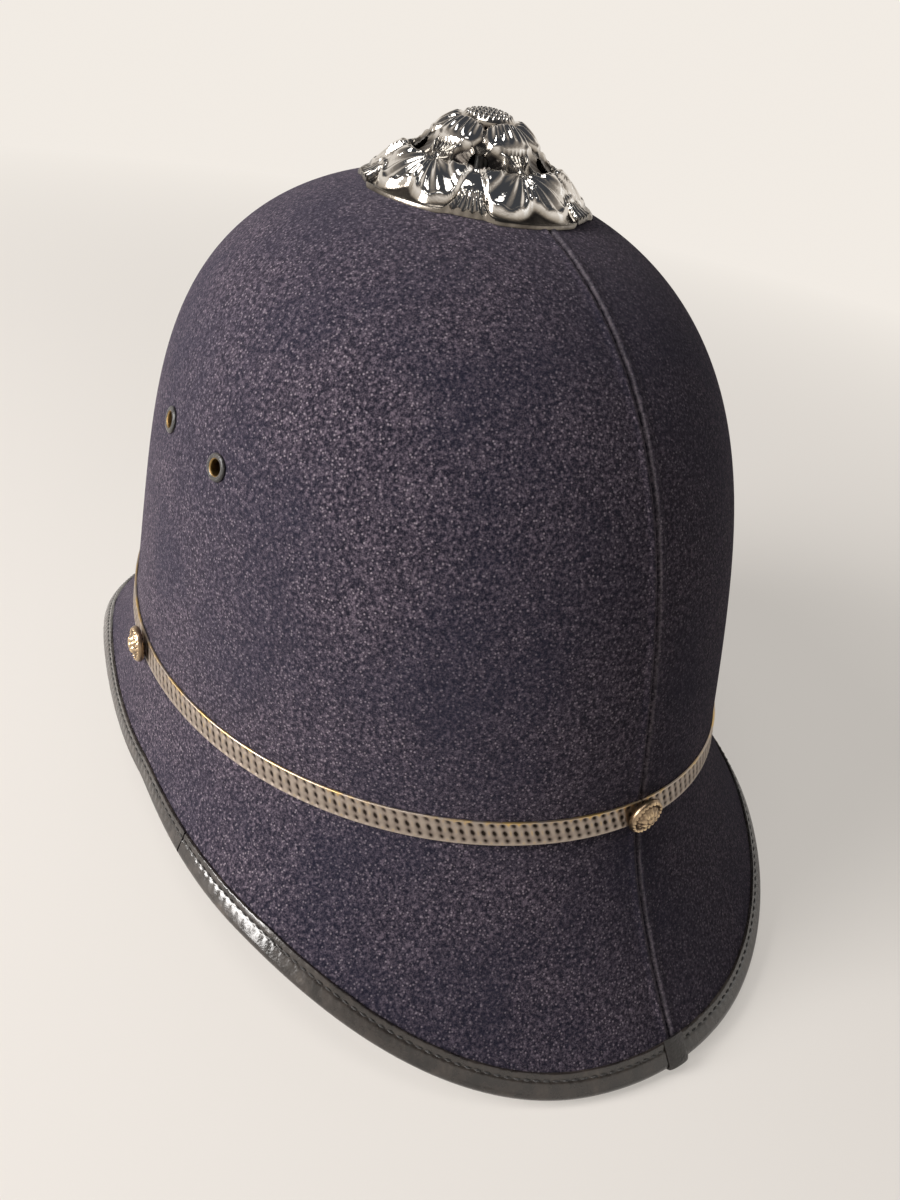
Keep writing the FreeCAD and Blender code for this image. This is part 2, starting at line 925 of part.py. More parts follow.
def crown_tongues():
    tongues = []
    for i in range(tongue_count):
        middle = 360 * (i + 0.5) / tongue_count
        outer = []
        inner = []
        for side in spaced(-1, 1, 6):
            rows = ([], [])
            for rise in spaced(0, tongue_tip, 10):
                half = tongue_angle * (1 - tongue_narrowing * rise)
                turn = math.radians(middle + side * half)
                rows[0].append(tongue_point(turn, rise, 0))
                rows[1].append(tongue_point(turn, rise, -tongue_leather))
            outer.append(rows[0])
            inner.append(rows[1])
        tongues.append(thin_solid(outer, inner, False))
    return Part.makeCompound(tongues)


def crown_lace():
    """Lace that draws the tips of the tongues together."""
    tip = tongue_point(0, tongue_tip, -tongue_leather)
    radius = tip.x - lace_radius - 2 * glue
    ring = Part.makeTorus(radius, lace_radius)
    ring.translate(V(0, head_centre, tip.z))
    return ring


def strap_point(angle, layer):
    """Middle of the strap's thickness, from the left pivot at 0 round the front to 180."""
    turn = math.radians(angle)
    wide = strap_half_width + layer
    long = strap_reach + layer
    return V(wide * math.cos(turn), -long * math.sin(turn), strap_level)


def strap_frame(angle, layer):
    """Point, direction along the strap and direction away from the head."""
    step = 0.5
    along = (strap_point(angle + step, layer) - strap_point(angle - step, layer)).normalize()
    return strap_point(angle, layer), along, along.cross(V(0, 0, -1))


def strap_sections(angles, layer_at, thick):
    sections = []
    for angle in angles:
        point, _, out = strap_frame(angle, layer_at(angle))
        near = point - out * (thick / 2)
        far = point + out * (thick / 2)
        half = V(0, 0, strap_width / 2)
        sections.append([near - half, far - half, far + half, near + half])
    return sections


def lap_layer():
    """Offset of the long strap where it lies over the short one."""
    return strap_thick + fold_wall + 2 * glue


def long_layer(angle):
    share = min(1.0, max(0.0, (bar_angle + lap_start - angle) / lap_run))
    return lap_layer() * share * share * (3 - 2 * share)


def strap_tail(side):
    """Rounded end round the pivot, as a cylinder along X."""
    spot = V(side * strap_half_width - strap_thick / 2, 0, strap_level)
    return Part.makeCylinder(strap_width / 2, strap_thick, spot, V(1, 0, 0))


def pivot_bore(shape, side):
    spot = V(side * strap_half_width - 3 * strap_thick, 0, strap_level)
    return shape.cut(Part.makeCylinder(strap_hole, 6 * strap_thick, spot, V(1, 0, 0)))


def chin_strap_long():
    angles = spaced(180, lap_angle, 38)
    strap = rail_solid(strap_sections(angles, long_layer, strap_thick), False)
    strap = strap.fuse(strap_tail(-1))
    half_slot = prong_wire / 2 + slot_side_gap
    slot = Part.makeBox(slot_length, slot_depth, 2 * half_slot, V(slot_start, -slot_depth / 2, -half_slot))
    slot.Placement = frame_placement(bar_angle, 0).multiply(slot.Placement)
    return pivot_bore(strap.cut(slot), -1)


def chin_strap_short():
    angles = spaced(0, bar_angle - bar_share(), 12)
    strap = rail_solid(strap_sections(angles, lambda angle: 0.0, strap_thick), False)
    strap = strap.fuse(strap_tail(1))
    fold = Part.makeCylinder(bar_radius + prong_gap + fold_wall, strap_width,
                             strap_point(bar_angle, 0) - V(0, 0, strap_width / 2))
    strap = strap.fuse(fold)
    hollow = Part.makeCylinder(bar_radius + prong_gap, 2 * strap_width,
                               strap_point(bar_angle, 0) - V(0, 0, strap_width))
    notch = Part.makeCylinder(bar_radius + 3 * fold_wall, prong_wire + 1.0,
                              strap_point(bar_angle, 0) - V(0, 0, prong_wire / 2 + 0.5))
    return pivot_bore(strap.cut(hollow).cut(notch), 1)


def bar_share():
    """Degrees of the strap's curve that the bar's own radius takes."""
    return math.degrees(bar_radius / strap_reach)


def frame_placement(angle, layer):
    """Placement with X along the strap, Y away from the head and Z up the width."""
    point, along, out = strap_frame(angle, layer)
    turn = FreeCAD.Rotation(along, out, V(0, 0, 1), "XYZ")
    return FreeCAD.Placement(point, turn)


def buckle_frame():
    """Flat wire frame: its bar carries the short strap, its far bar holds the prong's tip."""
    half = frame_width / 2
    wire = frame_wire
    bar = Part.makeCylinder(bar_radius, frame_width, V(0, 0, -half))
    parts = []
    for side in (-1, 1):
        rail = Part.makeCylinder(wire / 2, math.hypot(frame_length, frame_rise()),
                                 V(0, 0, side * half), V(frame_length, frame_rise(), 0))
        parts += [rail, Part.makeSphere(wire / 2, V(0, 0, side * half)),
                  Part.makeSphere(wire / 2, V(frame_length, frame_rise(), side * half))]
    parts.append(Part.makeCylinder(wire / 2, frame_width, V(frame_length, frame_rise(), -half)))
    frame = bar
    for piece in parts:
        frame = frame.fuse(piece)
    frame.Placement = frame_placement(bar_angle, 0)
    return frame


def frame_rise():
    """How far the far bar stands outside the short strap's line."""
    return long_layer(bar_angle + lap_start / 2) + strap_thick / 2 + frame_wire / 2 + 2 * glue + prong_rise


def buckle_prong():
    """Ring on the bar with a tongue that lies on the far bar."""
    outside = bar_radius + prong_gap + 0.6 * prong_wire
    ring = Part.makeCylinder(outside, prong_wire, V(0, 0, -prong_wire / 2))
    rise = frame_rise() + frame_wire / 2 + prong_wire / 2 + 5 * glue
    far = V(frame_length + prong_end, rise, 0)
    near = V(0.3, bar_radius + prong_gap + 0.3, 0)
    finger = Part.makeCylinder(prong_wire / 2, (far - near).Length, near, far - near)
    tip = Part.makeSphere(prong_wire / 2, far)
    prong = ring.fuse(finger).fuse(tip)
    prong = prong.cut(Part.makeCylinder(bar_radius + prong_gap, 4 * prong_wire, V(0, 0, -2 * prong_wire)))
    prong.Placement = frame_placement(bar_angle, 0)
    return prong


def strap_keeper():
    """Leather loop round both straps beside the buckle."""
    inner_y = (-strap_thick / 2 - glue, lap_layer() + strap_thick / 2 + 3 * glue)
    half = strap_width / 2 + 2 * glue
    block = Part.makeBox(keeper_length, inner_y[1] - inner_y[0] + 2 * keeper_wall, 2 * (half + keeper_wall),
                         V(-keeper_length / 2, inner_y[0] - keeper_wall, -half - keeper_wall))
    hole = Part.makeBox(2 * keeper_length, inner_y[1] - inner_y[0], 2 * half,
                        V(-keeper_length, inner_y[0], -half))
    loop = block.cut(hole)
    loop.Placement = frame_placement(keeper_angle, 0)
    return loop


def wall_inside_at(level):
    """Least distance of the lining from the middle plane, across the pivot's plate at one height."""
    share = (band_side - level) / (band_side - edge_side)
    turns = [math.asin(side * plate_side / 2 / half_length(side)) for side in (-1, 1)]
    return min(layer_point(turn, -share, lining_inside(-share)).x for turn in turns)


def pivot_wall():
    """Least distance of the lining from the middle plane over the whole plate."""
    half = plate_side / 2
    return min(wall_inside_at(strap_level + half), wall_inside_at(strap_level - half))


def strap_pivot():
    """Left pivot: a headed pin with a shoulder, on a plate that is riveted to the wall."""
    plate_face = pivot_wall() - glue
    seat = strap_half_width + strap_thick / 2 + fit_gap
    head = strap_half_width - strap_thick / 2 - fit_gap
    plate = Part.makeBox(plate_thick, plate_side, plate_side,
                         V(plate_face - plate_thick, -plate_side / 2, strap_level - plate_side / 2))
    x_axis = V(1, 0, 0)
    length = plate_face - plate_thick - seat
    shoulder = Part.makeCylinder(pivot_shoulder, length, V(seat, 0, strap_level), x_axis)
    shank = Part.makeCylinder(pivot_radius, plate_face - head, V(head, 0, strap_level), x_axis)
    cap = Part.makeCylinder(pivot_head, pivot_head_thick, V(head - pivot_head_thick, 0, strap_level), x_axis)
    pivot = plate.fuse(shoulder).fuse(shank).fuse(cap)
    return cut_rivets(pivot)


def rivet_spots():
    corners = [(side, height) for side in (-1, 1) for height in (-1, 1)]
    return [(side * rivet_step, strap_level + height * rivet_step) for side, height in corners]


def cut_rivets(shape):
    for y, z in rivet_spots():
        spot = V(strap_half_width, y, z)
        drill = Part.makeCylinder(rivet_radius + fit_gap / 2, crown_half_width, spot, V(1, 0, 0))
        shape = shape.cut(drill)
    return shape


def strap_rivets():
    rivets = []
    face = pivot_wall() - glue - plate_thick
    for y, z in rivet_spots():
        share = (band_side - z) / (band_side - edge_side)
        end = layer_point(0, -share, cork_outside(-share)).x - rivet_depth
        shank = Part.makeCylinder(rivet_radius, end - face, V(face, y, z), V(1, 0, 0))
        head = Part.makeCylinder(rivet_radius * 1.8, rivet_rise, V(face - rivet_rise - fit_gap / 2, y, z),
                                 V(1, 0, 0))
        neck = Part.makeCylinder(rivet_radius, rivet_rise, V(face - rivet_rise, y, z), V(1, 0, 0))
        rivets.append(shank.fuse(head).fuse(neck).removeSplitter())
    return Part.makeCompound(rivets + [mirrored(rivet) for rivet in rivets])


def rivet_drills(radius):
    spots = [(side, y, z) for y, z in rivet_spots() for side in (-1, 1)]
    return [Part.makeCylinder(radius, crown_half_width, V(side * strap_half_width, y, z), V(side, 0, 0))
            for side, y, z in spots]


def rivet_holes(shape, radius):
    for drill in rivet_drills(radius):
        shape = shape.cut(drill)
    return shape


def save(name, shape):
    shape.exportStep("parts/" + name + ".step")
    print(name, "solids", len(shape.Solids), "valid", shape.isValid(), "volume", round(shape.Volume, 1))


def main():
    os.makedirs("parts", exist_ok=True)
    save("cork_shell", cork_shell())
    left_panel = cover_panel()
    save("cover_panel_left", left_panel)
    save("cover_panel_right", mirrored(left_panel))
    save("under_brim_lining", rivet_holes(under_brim_lining(), rivet_radius + fit_gap / 2))
    save("binding_front", binding_front())
    rear = binding_rear_left()
    save("binding_rear_left", rear)
    save("binding_rear_right", mirrored(rear))
    save("binding_wrap", binding_wrap())
    save("hat_band", hat_band())
    for name, turn in boss_turns().items():
        save(name, boss(turn))
    save("boss_washers", boss_washers())
    save("vent_eyelets_left", vent_eyelets(False))
    save("vent_eyelets_right", vent_eyelets(True))
    save("eyelet_washers", eyelet_washers())
    save("vent_collar", vent_collar())
    save("vent_bridge", vent_bridge())
    save("rose_finial", rose_finial())
    save("rose_button", rose_button())
    save("finial_stud", finial_stud())
    save("finial_washer", finial_washer())
    save("finial_nut", finial_nut())
    save("sweatband", sweatband())
    save("headband_hoop", headband_hoop())
    save("spacer_blocks", spacer_blocks())
    save("crown_tongues", crown_tongues())
    save("crown_lace", crown_lace())
    save("chin_strap_long", chin_strap_long())
    save("chin_strap_short", chin_strap_short())
    save("buckle_frame", buckle_frame())
    save("buckle_prong", buckle_prong())
    save("strap_keeper", strap_keeper())
    pivot = strap_pivot()
    save("strap_pivot_left", pivot)
    save("strap_pivot_right", mirrored(pivot))
    save("strap_rivets", strap_rivets())


main()
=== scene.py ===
import math
import bpy
import numpy as np
from mathutils import Matrix, Vector


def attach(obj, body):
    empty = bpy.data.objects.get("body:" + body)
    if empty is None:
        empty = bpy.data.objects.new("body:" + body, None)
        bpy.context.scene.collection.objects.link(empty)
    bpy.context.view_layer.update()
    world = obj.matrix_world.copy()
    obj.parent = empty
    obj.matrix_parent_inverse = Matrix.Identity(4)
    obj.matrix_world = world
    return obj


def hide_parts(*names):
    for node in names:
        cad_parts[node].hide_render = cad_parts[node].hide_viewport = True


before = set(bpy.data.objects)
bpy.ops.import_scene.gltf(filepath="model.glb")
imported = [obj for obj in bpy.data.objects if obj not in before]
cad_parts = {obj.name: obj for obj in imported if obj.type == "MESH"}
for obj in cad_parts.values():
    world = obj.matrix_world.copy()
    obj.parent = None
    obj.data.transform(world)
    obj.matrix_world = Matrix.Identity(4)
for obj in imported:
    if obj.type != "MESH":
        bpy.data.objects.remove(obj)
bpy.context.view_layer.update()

mm = 0.001
print("frame loaded")

# the outer skin of the helmet: turn runs round it from the left side, 90 degrees is the back seam
# level -1 is the brim's edge, 0 the metal band, towards 1 the apex
shell = {
    "halfWidth": 0.100, "backLength": 0.121, "frontLength": 0.117, "top": 0.219, "apexForward": 0.0085,
    "sidePower": 4.9, "sideTaper": 0.12, "backPower": 4.4, "backTaper": 0.28,
    "frontPower": 3.6, "frontTaper": 0.10,
    "bandSide": 0.064, "bandBack": 0.0715, "bandFront": 0.0755,
    "outSide": 0.007, "outBack": 0.0435, "outFront": 0.0475, "outBackPower": 1.4, "outFrontPower": 3.0,
    "flarePower": 1.43, "edgeEnd": 0.0039, "edgeSide": 0.0235, "edgeLevelAngle": 78, "edgeRaisedAngle": 32,
    "stepPower": 2.2, "ventCentre": -0.00837, "ventRadius": 0.019,
    "cloth": 0.0012, "glue": 0.00015, "corkCrown": 0.004, "corkEdge": 0.0022, "lining": 0.0008,
}


def bandHeight(turn):
    end = np.where(np.sin(turn) > 0, shell["bandBack"], shell["bandFront"])
    return shell["bandSide"] + (end - shell["bandSide"]) * np.sin(turn) ** 2


def halfLength(turn):
    return np.where(np.sin(turn) > 0, shell["backLength"], shell["frontLength"])


def crownSkin(turn, share):
    side = np.sqrt(1 - share ** shell["sidePower"]) * (1 - shell["sideTaper"] * share)
    back = np.sqrt(1 - share ** shell["backPower"]) * (1 - shell["backTaper"] * share)
    front = np.sqrt(1 - share ** shell["frontPower"]) * (1 - shell["frontTaper"] * share)
    long = np.where(np.sin(turn) > 0, back, front)
    low = bandHeight(turn)
    return np.stack([shell["halfWidth"] * side * np.cos(turn),
                     halfLength(turn) * long * np.sin(turn) - shell["apexForward"] * share ** 2,
                     low + (shell["top"] - low) * share], -1)


def planNormal(turn):
    flat = np.stack([np.cos(turn) / shell["halfWidth"], np.sin(turn) / halfLength(turn), 0 * turn], -1)
    return flat / np.linalg.norm(flat, axis=-1, keepdims=True)


def edgeHeight(turn):
    fromSide = np.degrees(np.arcsin(np.clip(np.abs(np.sin(turn)), 0, 1)))
    rise = (shell["edgeLevelAngle"] - fromSide) / (shell["edgeLevelAngle"] - shell["edgeRaisedAngle"])
    rise = np.clip(rise, 0, 1)
    return shell["edgeEnd"] + (shell["edgeSide"] - shell["edgeEnd"]) * rise * rise * (3 - 2 * rise)


def brimSkin(turn, share):
    lean = np.abs(np.sin(turn))
    back = shell["outSide"] + (shell["outBack"] - shell["outSide"]) * lean ** shell["outBackPower"]
    front = shell["outSide"] + (shell["outFront"] - shell["outSide"]) * lean ** shell["outFrontPower"]
    out = np.where(np.sin(turn) > 0, back, front) * share ** shell["flarePower"]
    point = crownSkin(turn, 0 * share) + planNormal(turn) * out[..., None]
    point[..., 2] -= (bandHeight(turn) - edgeHeight(turn)) * share
    return point


def helmetSkin(turn, level):
    turn, level = np.broadcast_arrays(np.asarray(turn, float), np.asarray(level, float))
    share = 1 - (1 - np.clip(level, 0, 0.9999)) ** shell["stepPower"]
    brim = brimSkin(turn, np.clip(-level, 0, 1))
    return np.where((level < 0)[..., None], brim, crownSkin(turn, share))


def helmetNormal(turn, level):
    turn, level = np.broadcast_arrays(np.asarray(turn, float), np.asarray(level, float))
    step = 0.004
    across = helmetSkin(turn + step, level) - helmetSkin(turn - step, level)
    along = helmetSkin(turn, np.minimum(level + step, 0.995)) - helmetSkin(turn, np.maximum(level - step, -1))
    normal = np.cross(across, along)
    return normal / np.linalg.norm(normal, axis=-1, keepdims=True)


def helmetLayer(turn, level, lift):
    lift = np.asarray(lift, float)
    return helmetSkin(turn, level) + helmetNormal(turn, level) * lift[..., None]


def levelAtRadius(turn, radius):
    low = np.full_like(turn, 0.3)      # level where the skin passes a circle round the vent
    high = np.full_like(turn, 0.995)
    for _ in range(40):
        middle = (low + high) / 2
        point = helmetSkin(turn, middle)
        outside = np.hypot(point[..., 0], point[..., 1] - shell["ventCentre"]) > radius
        low = np.where(outside, middle, low)
        high = np.where(outside, high, middle)
    return low


def corkInside(level):
    edge = np.clip(-np.asarray(level, float), 0, 1)
    cork = shell["corkCrown"] + (shell["corkEdge"] - shell["corkCrown"]) * edge
    return -shell["cloth"] - shell["glue"] - cork


def liningOutside(level):
    return corkInside(level) - shell["glue"]


def smoothStep(value, low, high):
    t = np.clip((value - low) / (high - low), 0, 1)
    return t * t * (3 - 2 * t)


def bell(value, width):
    return np.exp(-(value / width) ** 2)


# mesh helpers
def deselectAll():
    bpy.ops.object.select_all(action="DESELECT")


def shapedGrid(name, points, weld=2e-6):
    rows, columns = points.shape[:2]
    deselectAll()
    bpy.ops.mesh.primitive_grid_add(x_subdivisions=columns - 1, y_subdivisions=rows - 1, size=0.1)
    piece = bpy.context.object
    piece.name = name
    piece.data.name = name
    piece.data.vertices.foreach_set("co", points.astype(np.float32).ravel())
    piece.data.update()
    bpy.ops.object.mode_set(mode="EDIT")
    bpy.ops.mesh.select_all(action="SELECT")
    bpy.ops.mesh.remove_doubles(threshold=weld)
    bpy.ops.mesh.select_all(action="SELECT")
    bpy.ops.mesh.fill_holes(sides=0)
    bpy.ops.mesh.select_all(action="SELECT")
    bpy.ops.mesh.normals_make_consistent(inside=False)
    bpy.ops.object.mode_set(mode="OBJECT")
    bpy.ops.object.shade_smooth()
    return piece


def creaseSmooth(piece, degrees):
    deselectAll()
    piece.select_set(True)
    bpy.context.view_layer.objects.active = piece
    bpy.ops.object.shade_smooth_by_angle(angle=math.radians(degrees))


def applyModifier(piece, kind, **values):
    deselectAll()
    piece.select_set(True)
    bpy.context.view_layer.objects.active = piece
    modifier = piece.modifiers.new(kind.lower(), kind)
    for key, value in values.items():
        setattr(modifier, key, value)
    bpy.ops.object.modifier_apply(modifier=modifier.name)
    return piece


def cutWith(piece, cutter):
    applyModifier(piece, "BOOLEAN", operation="DIFFERENCE", solver="EXACT", object=cutter)
    bpy.data.objects.remove(cutter)


def addCylinder(spot, rotation, radius, depth, vertices):
    deselectAll()
    bpy.ops.mesh.primitive_cylinder_add(vertices=vertices, radius=radius, depth=depth, location=spot,
                                        rotation=rotation)
    return bpy.context.object


def facing(direction):
    return Vector(direction).to_track_quat("Z", "Y").to_euler()


def uniteWith(piece, other):
    applyModifier(piece, "BOOLEAN", operation="UNION", solver="EXACT", object=other)
    bpy.data.objects.remove(other)


def joinPieces(name, pieces):
    deselectAll()
    for piece in pieces:
        piece.select_set(True)
    bpy.context.view_layer.objects.active = pieces[0]
    bpy.ops.object.join()
    pieces[0].name = name
    pieces[0].data.name = name
    return pieces[0]


def storeShade(piece, values):
    shade = piece.data.attributes.new("shade", "FLOAT", "POINT")
    shade.data.foreach_set("value", np.asarray(values, np.float32))


def vertexArray(piece):
    points = np.zeros(len(piece.data.vertices) * 3, np.float32)
    piece.data.vertices.foreach_get("co", points)
    return points.reshape(-1, 3).astype(float)


def finishPiece(piece, material, body="helmet", nodes=()):
    piece.data.materials.clear()
    piece.data.materials.append(material)
    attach(piece, body)
    if nodes:
        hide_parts(*nodes)
    return piece


# node helpers
def startMaterial(name, colour, roughness, metallic=0.0, **sockets):
    material = bpy.data.materials.new(name)
    material.use_nodes = True
    shader = material.node_tree.nodes["Principled BSDF"]
    shader.inputs["Base Color"].default_value = (*colour, 1)
    shader.inputs["Roughness"].default_value = roughness
    shader.inputs["Metallic"].default_value = metallic
    for key, value in sockets.items():
        shader.inputs[key.replace("_", " ")].default_value = value
    return material, shader


def addNode(material, kind, inputs=None, **values):
    node = material.node_tree.nodes.new(kind)
    for key, value in values.items():
        setattr(node, key, value)
    for key, value in (inputs or {}).items():
        if isinstance(value, bpy.types.NodeSocket):
            material.node_tree.links.new(value, node.inputs[key])
        else:
            node.inputs[key].default_value = value
    return node


def objectCoords(material):
    return addNode(material, "ShaderNodeTexCoord").outputs["Object"]


def noiseField(material, vector, scale, detail=3.0, roughness=0.55, distortion=0.0):
    node = addNode(material, "ShaderNodeTexNoise", {"Vector": vector, "Scale": scale, "Detail": detail,
                                                     "Roughness": roughness, "Distortion": distortion})
    return node.outputs["Fac"]


def cellField(material, vector, scale, feature="F1", output="Distance"):
    node = addNode(material, "ShaderNodeTexVoronoi", {"Vector": vector, "Scale": scale}, feature=feature)
    return node.outputs[output]


def rampField(material, value, stops):
    node = addNode(material, "ShaderNodeValToRGB", {"Fac": value})
    ramp = node.color_ramp
    while len(ramp.elements) < len(stops):
        ramp.elements.new(0.5)
    for element, (place, colour) in zip(ramp.elements, stops):
        element.position = place
        element.color = (*colour, 1)
    return node.outputs["Color"]


def greyRamp(material, value, low, high, dark=0.0, light=1.0):
    return rampField(material, value, [(low, (dark,) * 3), (high, (light,) * 3)])


def mixColours(material, factor, first, second, blend="MIX"):
    node = addNode(material, "ShaderNodeMix", data_type="RGBA", blend_type=blend)
    links = material.node_tree.links
    for socket, value in ((node.inputs[0], factor), (node.inputs[6], first), (node.inputs[7], second)):
        if isinstance(value, bpy.types.NodeSocket):
            links.new(value, socket)
        elif isinstance(value, tuple):
            socket.default_value = (*value, 1)
        else:
            socket.default_value = value
    return node.outputs[2]


def mathField(material, operation, first, second):
    return addNode(material, "ShaderNodeMath", {0: first, 1: second}, operation=operation).outputs[0]


def addBump(material, shader, height, distance, strength=1.0, normal=None):
    inputs = {"Height": height, "Distance": distance, "Strength": strength}
    if normal is not None:
        inputs["Normal"] = normal
    bump = addNode(material, "ShaderNodeBump", inputs)
    material.node_tree.links.new(bump.outputs["Normal"], shader.inputs["Normal"])
    return bump.outputs["Normal"]


def linkTo(material, output, shader, name):
    material.node_tree.links.new(output, shader.inputs[name])


def shadeField(material):
    return addNode(material, "ShaderNodeAttribute", attribute_name="shade").outputs["Fac"]


def clothMaterial():
    material, shader = startMaterial("navyMelton", (0.06, 0.05, 0.07), 0.95, Sheen_Weight=0.12,
                                     Sheen_Roughness=0.5, Sheen_Tint=(0.80, 0.70, 0.82, 1),
                                     Specular_IOR_Level=0.12)
    coords = objectCoords(material)
    fibre = noiseField(material, coords, 900, 5, 0.8)
    speckle = cellField(material, coords, 760)
    patch = noiseField(material, coords, 26, 4)
    base = rampField(material, fibre, [(0.40, (0.006, 0.006, 0.013)), (0.50, (0.036, 0.030, 0.044)),
                                       (0.64, (0.160, 0.128, 0.160))])
    flecks = greyRamp(material, speckle, 0.05, 0.30, 1.0, 0.0)
    spots = mixColours(material, flecks, base, (0.30, 0.255, 0.29))
    patches = greyRamp(material, patch, 0.40, 0.68, 0.0, 0.55)
    tone = mixColours(material, patches, spots, (0.012, 0.013, 0.028))
    # the shade attribute lays a lighter line beside the seam: painted highlight where the seam's fuzz catches
    # the light
    tufts = greyRamp(material, fibre, 0.38, 0.55, 0.3, 1.0)
    seamFuzzHighlight = mathField(material, "MULTIPLY", shadeField(material), tufts)
    linkTo(material, mixColours(material, seamFuzzHighlight, tone, (0.20, 0.175, 0.19)), shader, "Base Color")
    soft = addBump(material, shader, noiseField(material, coords, 260, 4, 0.6), 0.0006, 0.5)
    addBump(material, shader, fibre, 0.00045, 0.9, soft)
    return material


def bindingMaterial():
    material, shader = startMaterial("patentLeather", (0.012, 0.010, 0.010), 0.30, Coat_Weight=0.7,
                                     Coat_Roughness=0.13, Specular_IOR_Level=0.4)
    coords = objectCoords(material)
    wear = noiseField(material, coords, 180, 5, 0.6)
    # lighter brown patches at random: partly wear, partly a painted brownish sheen standing for the patent
    # leather's highlights
    colour = rampField(material, wear, [(0.35, (0.012, 0.010, 0.009)), (0.6, (0.035, 0.028, 0.024)),
                                        (0.8, (0.085, 0.068, 0.055))])
    linkTo(material, colour, shader, "Base Color")
    linkTo(material, greyRamp(material, wear, 0.3, 0.75, 0.16, 0.42), shader, "Roughness")
    broad = addBump(material, shader, noiseField(material, coords, 140, 3), 0.0005, 0.5)
    addBump(material, shader, cellField(material, coords, 1300), 0.00012, 0.35, broad)
    return material


def leatherMaterial(name, dark, middle, light, roughness, grain, coat=0.0):
    material, shader = startMaterial(name, middle, roughness, Coat_Weight=coat, Coat_Roughness=0.3)
    coords = objectCoords(material)
    wear = noiseField(material, coords, 55, 5, 0.6)
    colour = rampField(material, wear, [(0.3, dark), (0.52, middle), (0.75, light)])
    creases = cellField(material, coords, grain, "DISTANCE_TO_EDGE")
    lines = greyRamp(material, creases, 0.0, 0.12, 0.55, 1.0)
    linkTo(material, mixColours(material, 1.0, colour, lines, "MULTIPLY"), shader, "Base Color")
    worn = greyRamp(material, wear, 0.3, 0.7, roughness - 0.1, roughness + 0.12)
    linkTo(material, worn, shader, "Roughness")
    grained = addBump(material, shader, greyRamp(material, creases, 0.0, 0.25), 0.0002, 0.6)
    addBump(material, shader, noiseField(material, coords, 400, 3), 0.0002, 0.3, grained)
    return material


def reliefMetal(name, dark, middle, bright, wear, roughness, metallic=1.0):
    material, shader = startMaterial(name, middle, roughness, metallic)
    coords = objectCoords(material)
    height = shadeField(material)
    grime = noiseField(material, coords, 420, 4, 0.6)
    # colour follows the relief: painted shade in the hollows and painted highlight on the raised parts, with
    # random grime patches added
    reliefShadeAndDirt = mathField(material, "ADD", height, mathField(material, "MULTIPLY", grime, 0.35))
    colour = rampField(material, reliefShadeAndDirt, [(0.28, dark), (0.55, middle), (0.92, bright)])
    worn = mathField(material, "MULTIPLY", greyRamp(material, height, 0.72, 0.95),
                     greyRamp(material, noiseField(material, coords, 130, 3), 0.42, 0.6))
    linkTo(material, mixColours(material, worn, colour, wear), shader, "Base Color")
    linkTo(material, greyRamp(material, reliefShadeAndDirt, 0.3, 1.0, roughness + 0.28, roughness), shader, "Roughness")
    scratches = addBump(material, shader, noiseField(material, coords, 900, 3), 0.00008, 0.5)
    addBump(material, shader, grime, 0.00015, 0.35, scratches)
    return material


def chromeMaterial():
    material, shader = startMaterial("roseChrome", (0.83, 0.81, 0.77), 0.08, 1.0)
    coords = objectCoords(material)
    height = shadeField(material)
    stain = noiseField(material, coords, 240, 4)
    # colour follows the relief: painted shade in the hollows and painted highlight on the raised parts, with
    # random stains added
    reliefShadeAndDirt = mathField(material, "ADD", height, mathField(material, "MULTIPLY", stain, 0.4))
    colour = rampField(material, reliefShadeAndDirt, [(0.22, (0.07, 0.06, 0.052)), (0.5, (0.36, 0.325, 0.28)),
                                           (0.85, (0.74, 0.71, 0.67))])
    linkTo(material, colour, shader, "Base Color")
    linkTo(material, greyRamp(material, reliefShadeAndDirt, 0.25, 0.9, 0.26, 0.07), shader, "Roughness")
    tarnish = addBump(material, shader, noiseField(material, coords, 1500, 2), 0.00006, 0.5)
    addBump(material, shader, noiseField(material, coords, 160, 3), 0.0003, 0.25, tarnish)
    return material


def steelMaterial():
    material, shader = startMaterial("platedSteel", (0.55, 0.55, 0.54), 0.34, 1.0)
    coords = objectCoords(material)
    marks = noiseField(material, coords, 320, 5, 0.65)
    linkTo(material, rampField(material, marks, [(0.3, (0.30, 0.29, 0.27)), (0.6, (0.58, 0.57, 0.55))]),
           shader, "Base Color")
    linkTo(material, greyRamp(material, marks, 0.3, 0.7, 0.5, 0.28), shader, "Roughness")
    addBump(material, shader, marks, 0.0001, 0.5)
    return material


def brassMaterial(name, dark, bright, roughness):
    material, shader = startMaterial(name, bright, roughness, 1.0)
    coords = objectCoords(material)
    tarnish = noiseField(material, coords, 260, 5, 0.65)
    linkTo(material, rampField(material, tarnish, [(0.35, dark), (0.65, bright)]), shader, "Base Color")
    linkTo(material, greyRamp(material, tarnish, 0.3, 0.7, roughness + 0.2, roughness), shader, "Roughness")
    addBump(material, shader, tarnish, 0.00012, 0.5)
    return material


def corkMaterial():
    material, shader = startMaterial("pressedCork", (0.42, 0.28, 0.16), 0.85)
    coords = objectCoords(material)
    grains = cellField(material, coords, 380, "F1", "Color")
    seams = cellField(material, coords, 380, "DISTANCE_TO_EDGE")
    colour = rampField(material, grains, [(0.1, (0.28, 0.17, 0.09)), (0.5, (0.44, 0.30, 0.17)),
                                          (0.9, (0.60, 0.44, 0.27))])
    linkTo(material, mixColours(material, 1.0, colour, greyRamp(material, seams, 0.0, 0.12, 0.45, 1.0),
                                "MULTIPLY"), shader, "Base Color")
    addBump(material, shader, greyRamp(material, seams, 0.0, 0.2), 0.0003, 0.6)
    return material


